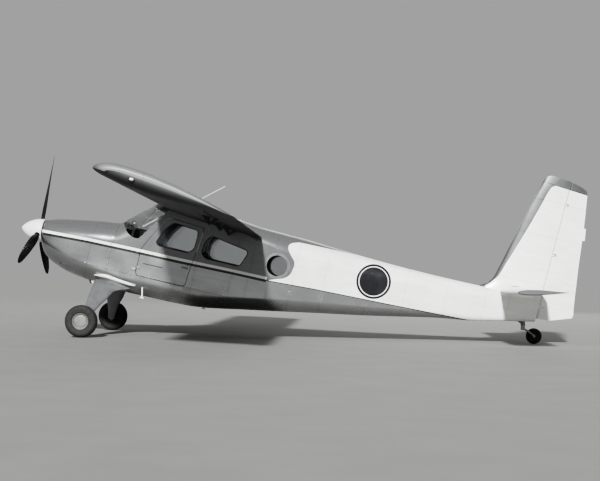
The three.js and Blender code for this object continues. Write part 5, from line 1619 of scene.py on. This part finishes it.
def piping(name, loop, pads):
    """A thin round cord laid on the nearest pad, through level-frame points."""
    points = []
    for corner in loop:
        spot = LEVEL @ Vector(corner)
        found = [piece.closest_point_on_mesh(spot)[1] for piece in pads]
        points.append(LEVEL.inverted() @ min(found, key=lambda p: (p - spot).length))
    return fix(rod(name, points, 4.5, 10, closed=True), piping_cord)


def rim(count):
    """Points round the edge of a unit square with rounded corners."""
    square = rounded([(0, 0), (1, 0), (1, 1), (0, 1)], 0.14, 4)
    points = []
    for a, b in zip(square, [*square[1:], square[0]]):
        steps = max(1, round((Vector(b) - Vector(a)).length * count / 2))
        points += [tuple(Vector(a).lerp(Vector(b), i / steps)) for i in range(steps)]
    return points


def seat(word, x, y, width, height, node, channels):
    """A cushion and a back, each with piping round its front face."""
    y0, y1 = y - width / 2, y + width / 2
    outline = [(x, 940), (x + 440, 940), (x + 440, 1050), (x, 1050)]
    cushion = pad(f"seat_{word}_cushion", outline, y0, y1, node, ())
    back = pad(f"seat_{word}_back", [(x + 400, 1056), (x + 500, 1056), (x + 610, height), (x + 530, height)],
               y0, y1, node, channels)
    top = [(x + 12 + 412 * t, y0 + 12 + (width - 24) * s, 1062) for t, s in rim(14)]
    front = [(x + 396 + 126 * t, y0 + 12 + (width - 24) * s, 1064 + (height - 1072) * t) for t, s in rim(16)]
    piping(f"seat_{word}_cushion_piping", top, [cushion])
    piping(f"seat_{word}_back_piping", front, [back])
    legs = []
    for leg_y in (y0 + 60, y1 - 60):
        for a, b in ((70, 110), (370, 330)):
            legs.append(rod("leg", [(x + a, leg_y, 707), (x + b, leg_y, 938)], 12, 16))
        legs.append(slab("rail", x + 30, x + 420, leg_y - 16, leg_y + 16, 706.6, 718, 2))
        legs.append(rod("bar", [(x + 60, leg_y, 932), (x + 430, leg_y, 932), (x + 505, leg_y, 1056)], 12, 16))
    fix(merge(f"seat_{word}_frame", *legs), grey_enamel)
    return cushion, back


for side, word in SIDES:
    seat("front_" + word, 900, side * SEAT_Y, 440, 1440, "seat_front_" + word, (0.3, 0.62))
middle = seat("middle", 1620, 0, 980, 1400, "seat_middle", (0.35, 0.7))
print("bench faces:", [len(piece.data.polygons) for piece in middle])

# %% [markdown]
# ## Instrument panel
# A painted sheet panel closes the front of the cabin under a padded coaming. Round dials
# stand in it in two rows, each a bezel with a recessed black face, plain white ticks and a
# needle. A stack of blank radio faces sits in the middle, and a compass on the coaming.

# %% Panel and coaming
PANEL_X, PANEL_LOW, PANEL_TOP = 330, 1180, 1558
COLUMN_Z = 1345
panel_paint = speckled("wrinkle-finish panel paint", "#1f2021", "#34363a", 2.2, 0.6, relief=0.8)
panel = cut(body_skin("instrument_board", 302, PANEL_X, 31),
            slab("keep", 250, 400, -500, 500, PANEL_LOW, PANEL_TOP, 0), operation="INTERSECT")
for side in (-1, 1):
    panel = cut(panel, turned("column_hole", [(19, 280), (19, 350)], 28, (0, side * SEAT_Y, COLUMN_Z), "X"))
fix(smooth(panel, 32, 2), panel_paint, replaces=["instrument_panel"])
COAMING = [(100, 1558), (150, 1550), (300, 1546), (332, 1560), (370, 1578), (366, 1600), (300, 1594),
           (100, 1575)]
hood = cut(body_skin("coaming", 102, 372, 31), plate("keep", rounded(COAMING, 9, 4), -498, 498),
           operation="INTERSECT")
fix(smooth(hood, 36, 3, 3), black_rubber_and_painted_shade)
print("panel width, mm:", 1000)

# %% Dials, radios and compass
FLIGHT = [(-270 + 92 * column, 1506 - 96 * row) for row in (0, 1) for column in (-1, 0, 1)]
ENGINE = [(150 + 74 * column, 1512 - 78 * row) for row in (0, 1, 2) for column in range(4)]
bezels, faces, marks = [], [], []


def dial(radius):
    """A bezel, a face and a ring of ticks, centred on the origin and facing aft."""
    section = [(-7, -2), (0, -2), (2, 3), (-3, 7), (-7, 3)]
    bezel = turned("bezel", [(radius + r, x) for r, x in section], 32, axis="X")
    face = turned("face", [(radius - 6, -1), (radius - 6, 1)], 32, axis="X")
    ticks = []
    for tick in range(12):
        mark = slab("tick", 0, 2.2, -1.1, 1.1, radius - 15, radius - 9, 0)
        mark.data.transform(Matrix.Rotation(2 * math.pi * tick / 12, 4, "X"))
        ticks.append(mark)
    return bezel, face, merge("ticks", *ticks)


for size, places in ((40, FLIGHT), (29, ENGINE)):
    master = dial(size)
    for number, (y, z) in enumerate(places):
        spot = Matrix.Translation((PANEL_X, y, z))
        needle = plate("needle", [(0, -7), (3.8, -7), (3.8, size - 13), (0, size - 13)], -1.3, 1.3)
        needle.data.transform(spot @ Matrix.Rotation(0.9 * number + size, 4, "X"))
        marks.append(needle)
        for part, group in zip(master, (bezels, faces, marks)):
            fresh = copy_of(part, part.name)
            fresh.data.transform(spot)
            group.append(fresh)
    for part in master:
        bpy.data.objects.remove(part)
for z in (1500, 1434, 1368):
    faces.append(slab("radio", PANEL_X - 1, PANEL_X + 5, -98, 66, z - 28, z + 28, 2))
    for y in (-80, 48):
        bezels.append(turned("knob", [(11, 5), (11, 17), (8, 20), (2, 20)], 20, (PANEL_X, y, z), "X"))
for y in spread(-86, 58, 9):
    bezels.append(turned("switch", [(5, 0), (5, 4), (2, 5), (2.6, 16)], 12, (PANEL_X, y, 1236), "X"))
LEVER = [(4, 0), (4, 46), (13, 46), (13, 60), (9, 65)]
for y in (-22, 0, 22):
    bezels.append(turned("lever", LEVER, 20, (PANEL_X, y, 1290), "X"))
fix(merge("dial_bezels", *bezels), trim_plastic)
fix(merge("dial_faces", *faces), blade_black)
fix(merge("dial_marks", *marks), white_enamel)
COMPASS = (236, -120, 1666)
bowl = turned("bowl", [(12, -26), (24, -24), (30, -12), (31, 0), (30, 12), (27, 16), (24, 16), (23, 11)], 28,
              axis="X")
glass = turned("compass_glass", [(22, 9), (22, 12), (15, 15)], 28, axis="X")
for part in (bowl, glass):
    part.data.transform(Matrix.Translation(COMPASS) @ Matrix.Rotation(math.radians(-60), 4, "Z"))
foot = turned("foot", [(22, 1594), (22, 1604), (9, 1612), (9, 1640)], 24, (*COMPASS[:2], 0), "Z")
fix(smooth(merge("compass", bowl, foot), 40), blade_black)
fix(smooth(glass, 40), white_enamel)
print("dials:", len(FLIGHT) + len(ENGINE))

# %% [markdown]
# Each control wheel is a pair of horns on a hub, on a column that runs through the panel.

# %% Control wheels and brace tubes
YOKE_X = 690
HORN = [(40, 1342), (78, 1347), (98, 1364), (107, 1390), (110, 1427)]       # distance out, height

for side, word in SIDES:
    y = side * SEAT_Y
    parts = [rod("column", [(84.5, y, COLUMN_Z), (YOKE_X - 4, y, COLUMN_Z)], 13.8, 24),
             slab("hub", YOKE_X - 10, YOKE_X + 15, y - 50, y + 50, COLUMN_Z - 19, COLUMN_Z + 19, 7),
             turned("boss", [(22, -18), (24, -14), (24, 18), (16, 23)], 32, (YOKE_X, y, COLUMN_Z), "X")]
    for hand in (-1, 1):
        path = [(YOKE_X + 2, y + hand * out, z) for out, z in HORN]
        parts.append(rod("horn", path, 11, 18))
        parts.append(rod("grip", path[3:], 14, 20))
    wheel = smooth(merge(f"control_yoke_{word}", *parts), 40)
    fix(wheel, black_rubber_and_painted_shade, replaces=["control_wheel_" + word])
tubes = [rod("tube", [(452, side * 497, 1640), (798, side * 497, 1940)], 11, 16) for side in (-1, 1)]
fix(merge("screen_brace_tubes", *tubes), white_enamel)
print("yokes:", 2)

# %% [markdown]
# ## Under the cowling and below the belly
# What shows through the cooling mouths is the front of the engine, so its block keeps its
# own shape and gets a cast finish. Two exhaust stubs with rolled, heat-browned ends come
# out under the cowling, beside a small bright drain fin.

# %% Engine, exhausts and drain
engine_metal = speckled("cast engine alloy", "#3f4042", "#5a5b5c", 3, 0.5, 0.7)
exhaust_steel = speckled("heat-browned steel", "#4a3d33", "#6d655d", 3, 0.42, 0.8)
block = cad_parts["engine_block"]
block.data.materials.clear()
block.data.materials.append(engine_metal)
for side, word in SIDES:
    pipe = cut(rod("pipe", [(-250, side * 250, 660), (-190, side * 262, 560)], 29.6, 32),
               rod("bore", [(-254, side * 249, 667), (-186, side * 263, 553)], 25.5, 32))
    pipe = cut(pipe, body_skin("body", -700, 100, SNUG))
    end, turn = Vector((-190, side * 262, 560)), Vector((60, side * 12, -100)).to_track_quat("Z", "Y")
    lip = [tuple(end + turn @ Vector((*spot, -3))) for spot in circle((0, 0), 27.6, 32)]
    rolled = rod("lip", lip, 2.6, 8, closed=True)
    stub = smooth(merge("exhaust_stub_" + word, pipe, rolled), 40)
    fix(stub, exhaust_steel, replaces=["exhaust_" + word])
drain = smooth(plate("drain_fin", [(-248, 634), (-148, 606), (-163, 553)], -304, -296), 32, 1)
fix(drain, white_enamel)
print("exhaust bore, mm:", 51)

# %% [markdown]
# ## Entry steps
# The step under each door is a bent rod with a flat foot that carries a ribbed pad.

# %% Steps
for side, word, x in ((-1, "left", 676), (1, "right", 1560)):
    leg = rod("leg", [(x - 10, side * 520, 716), (x + 8, side * 546, 654), (x + 42, side * 594, 534)], 12, 20)
    leg = cut(leg, body_skin("body", 300, 2100, SNUG))
    outline = rounded([(x + 8, 520), (x + 78, 520), (x + 78, 533), (x + 8, 533)], 5, 3)
    foot = smooth(plate("foot", outline, *ys(side, 556, 636)), 32, 3)
    ribs = [slab("rib", x + run, x + run + 4, *ys(side, 562, 630), 532, 534.4, 0.6)
            for run in (16, 28, 40, 52, 64)]
    fix(merge(f"entry_step_{word}", leg, foot, *ribs), white_enamel, replaces=["step_" + word])
print("steps:", 2)

# %% [markdown]
# ## Fasteners, handles and fittings
# Quarter-turn fasteners hold the cowling along its rear edge, and a round drain with a
# bright rim sits low on its left, its dark inside a black disc of painted shade. A fitting on
# the body's skin is stood on the skin's own slope, worked out from the corner of the section.
# Doors get a lever and a lock, and the left one a black strip, painted shade for the slot of
# its lower latch.

# %% Cowl and door fittings
FITTING_X, DRAIN_AT = 26, (-728, 760)


def on_skin(x, z, side):
    """The place on the body's side at x and z, with its own z axis pointing out of the skin."""
    _, low, high, half, low_w, low_h, top_w, top_h = along(STATIONS, x)
    out, rise = 1.0, 0.0
    if z < low + low_h:
        t = (low + low_h - z) / low_h
        out, rise = math.sqrt(1 - t * t) / low_w, -t / low_h
    elif z > high - top_h:
        t = (z - high + top_h) / top_h
        out, rise = math.sqrt(1 - t * t) / top_w, t / top_h
    turn = Vector((0, side * out, rise)).to_track_quat("Z", "Y").to_matrix().to_4x4()
    return Matrix.Translation((x, side * side_at(x, z), z)) @ turn


studs = []
for side in (-1, 1):
    for z in spread(700, 1470, 8):
        stud = turned("stud", [(11, -1), (11, 0.8), (9, 1.8), (3.4, 1.8), (3, 1), (0.1, 1)], 20, axis="Z")
        stud.data.transform(on_skin(FITTING_X, z, side))
        studs.append(stud)
fix(merge("cowl_fasteners", *studs), bare_steel)
RIM = [(19, -5), (19, 2), (17, 3.4), (13.5, 3), (12.5, -3), (0.1, -3)]
drain_rim = turned("cowl_drain_rim", RIM, 36, axis="Z")
drain_rim.data.transform(on_skin(*DRAIN_AT, -1))
fix(smooth(drain_rim), bare_steel)
# The drain's bore is a black disc inside the rim: painted shade for the dark inside of the drain.
drain_shade_disc = turned("cowl_drain_shade_disc", [(12.4, -2.8), (12.4, -1.2), (0.1, -1.2)], 32, axis="Z")
drain_shade_disc.data.transform(on_skin(*DRAIN_AT, -1))
fix(drain_shade_disc, black_rubber_and_painted_shade)

for side, word, x, z in ((-1, "left", 1320, 1148), (1, "right", 1950, 1120)):
    outline = rounded([(x - 104, z - 9), (x + 6, z - 12), (x + 6, z + 12), (x - 104, z + 9)], 8)
    handle = [smooth(plate("lever", outline, *ys(side, 583, 590)), 32, 2)]
    for name, profile, segments, rise in (("boss", [(15, 574.6), (15, 583), (13, 592), (0.1, 592)], 32, 0),
                                          ("lock", [(9, 574.6), (9, 577), (7, 578), (0.1, 578)], 24, 46)):
        profile = [(radius, side * y) for radius, y in profile]
        handle.append(turned(name, profile, segments, (x - 8, 0, z + rise)))
    settle(smooth(merge("door_handle_" + word, *handle), 36), "door_" + word, bare_steel)
# A thin black plate on the door: painted shade for the slot of the lower latch.
latch = smooth(plate("latch_slot_shade", rounded([(600, 1060), (925, 1062), (925, 1074), (600, 1072)], 5),
                     -576.6, -574.6), 32, 0.5)
settle(latch, "door_left", black_rubber_and_painted_shade)
print("cowl fasteners:", len(studs))

# %% [markdown]
# ## Lamps, caps and antenna
# Each wing tip carries a lamp in a dark oval surround, which is painted shade for the
# recess the lamp sits in; each wing top carries a fuel cap, and a slim whip antenna leans back
# from the roof. A short black strip on each side of the stern, by the tailplane, is painted
# shade for the dark slot of the tailplane's horn.

# %% Lamps, caps, antenna and seals
lamp_glass, tree, shader = fresh_material("frosted lamp glass")
frost = add(tree, "TexNoise", {"Vector": add(tree, "TexCoord", out="Object"), "Scale": 400, "Detail": 3.0})
tone = add(tree, "Mix", {0: frost, 6: linear("#dededc"), 7: linear("#f4f4f2")}, **BLEND)
fill(tree, shader, {"Base Color": tone, "Roughness": 0.12, "Coat Weight": 0.5})

LAMP_X, LAMP_Z = 1064, 2160
LONG_OVAL = Matrix.Translation((LAMP_X, 0, LAMP_Z)) @ Matrix.Diagonal((1.5, 1, 1, 1))
# The dark oval round each lamp is painted shade for the recess it sits in.
LAMP_RECESS_SHADE = [(30, 5880), (30, 5928), (26, 5934), (20, 5932), (0.1, 5930)]
BULB = [(17, 5926), (17, 5934), (12, 5941), (5, 5944), (0.1, 5944.4)]
caps = []
for side, word in SIDES:
    for name, profile, segments, finish in (("tip_lamp_recess_shade_", LAMP_RECESS_SHADE, 40, black_rubber_and_painted_shade),
                                            ("tip_lamp_", BULB, 36, lamp_glass)):
        part = turned(name + word, [(radius, side * y) for radius, y in profile], segments)
        part.data.transform(LONG_OVAL)
        fix(smooth(part, 40), finish)
    cap = merge("cap", turned("rim", [(52, -2), (52, 1.6), (48, 3), (0.1, 3)], 44, axis="Z"),
                turned("plug", [(36, 2), (36, 7), (33, 9), (0.1, 9)], 40, axis="Z"),
                slab("tab", -30, 30, -5, 5, 8.5, 15, 1.5))
    cap.data.transform(Matrix.Translation(wing_point(0.34, skin_height(0.34, True), side * 1500))
                       @ Matrix.Rotation(INCIDENCE, 4, "Y"))
    caps.append(smooth(cap, 36))
fix(merge("fuel_caps", *caps), bare_steel)

whip = rod("whip", [(1076, 0, 2195), (1541, 0, 2594)], 4.5, 12)
foot = turned("foot", [(34, 2176), (34, 2189), (16, 2196), (12, 2212), (0.1, 2212)], 32, (1080, 0, 0), "Z")
fix(merge("whip_antenna", whip, smooth(foot)), white_enamel)
# A black strip on each side: painted shade for the dark slot of the tailplane's horn.
SLOT_SHADE = [(6470, 2062), (6600, 2091), (6598, 2098), (6468, 2069)]
slot_shade_strips = [plate("seal", SLOT_SHADE, *ys(side, 55, 62.5)) for side in (-1, 1)]
fix(merge("tailplane_slot_shade_strips", *slot_shade_strips), black_rubber_and_painted_shade)
print("wing tip lamps:", 2)

# %% [markdown]
# ## Which finish is which
# Each finish is matched to an entry in the part's own list of finishes, and the pieces
# are counted by that entry.

# %% Slots of the finishes
SLOTS = {
    "fuselage enamel": "silver_paint", "grey enamel": "silver_paint", "tail enamel": "white_paint",
    "tailplane enamel": "white_paint", "white enamel": "white_paint", "wing enamel": "wing_paint",
    "slat enamel": "wing_paint", "matt black blade paint": "black_paint", "cast engine alloy": "cast_metal",
    "cast brake metal": "cast_metal", "cast pale alloy": "cast_metal", "brushed steel": "bare_steel",
    "heat-browned steel": "bare_steel",
    "vulcanised tyre rubber": "tyre", "enamelled cast wheel": "wheel_paint",
    "clear acrylic sheet": "clear_glass", "frosted lamp glass": "clear_glass",
    "moulded cabin plastic": "cabin_plastic",
    "window seal rubber and painted shade": "black_plastic"}
counted = {}
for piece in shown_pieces():
    first = piece.material_slots[0].material.name if piece.material_slots else ""
    given = SLOTS.get(first, "seat_cloth" if "cloth" in first or "cord" in first else "cabin_plastic")
    counted[given] = counted.get(given, 0) + 1
print("pieces by slot:", counted)
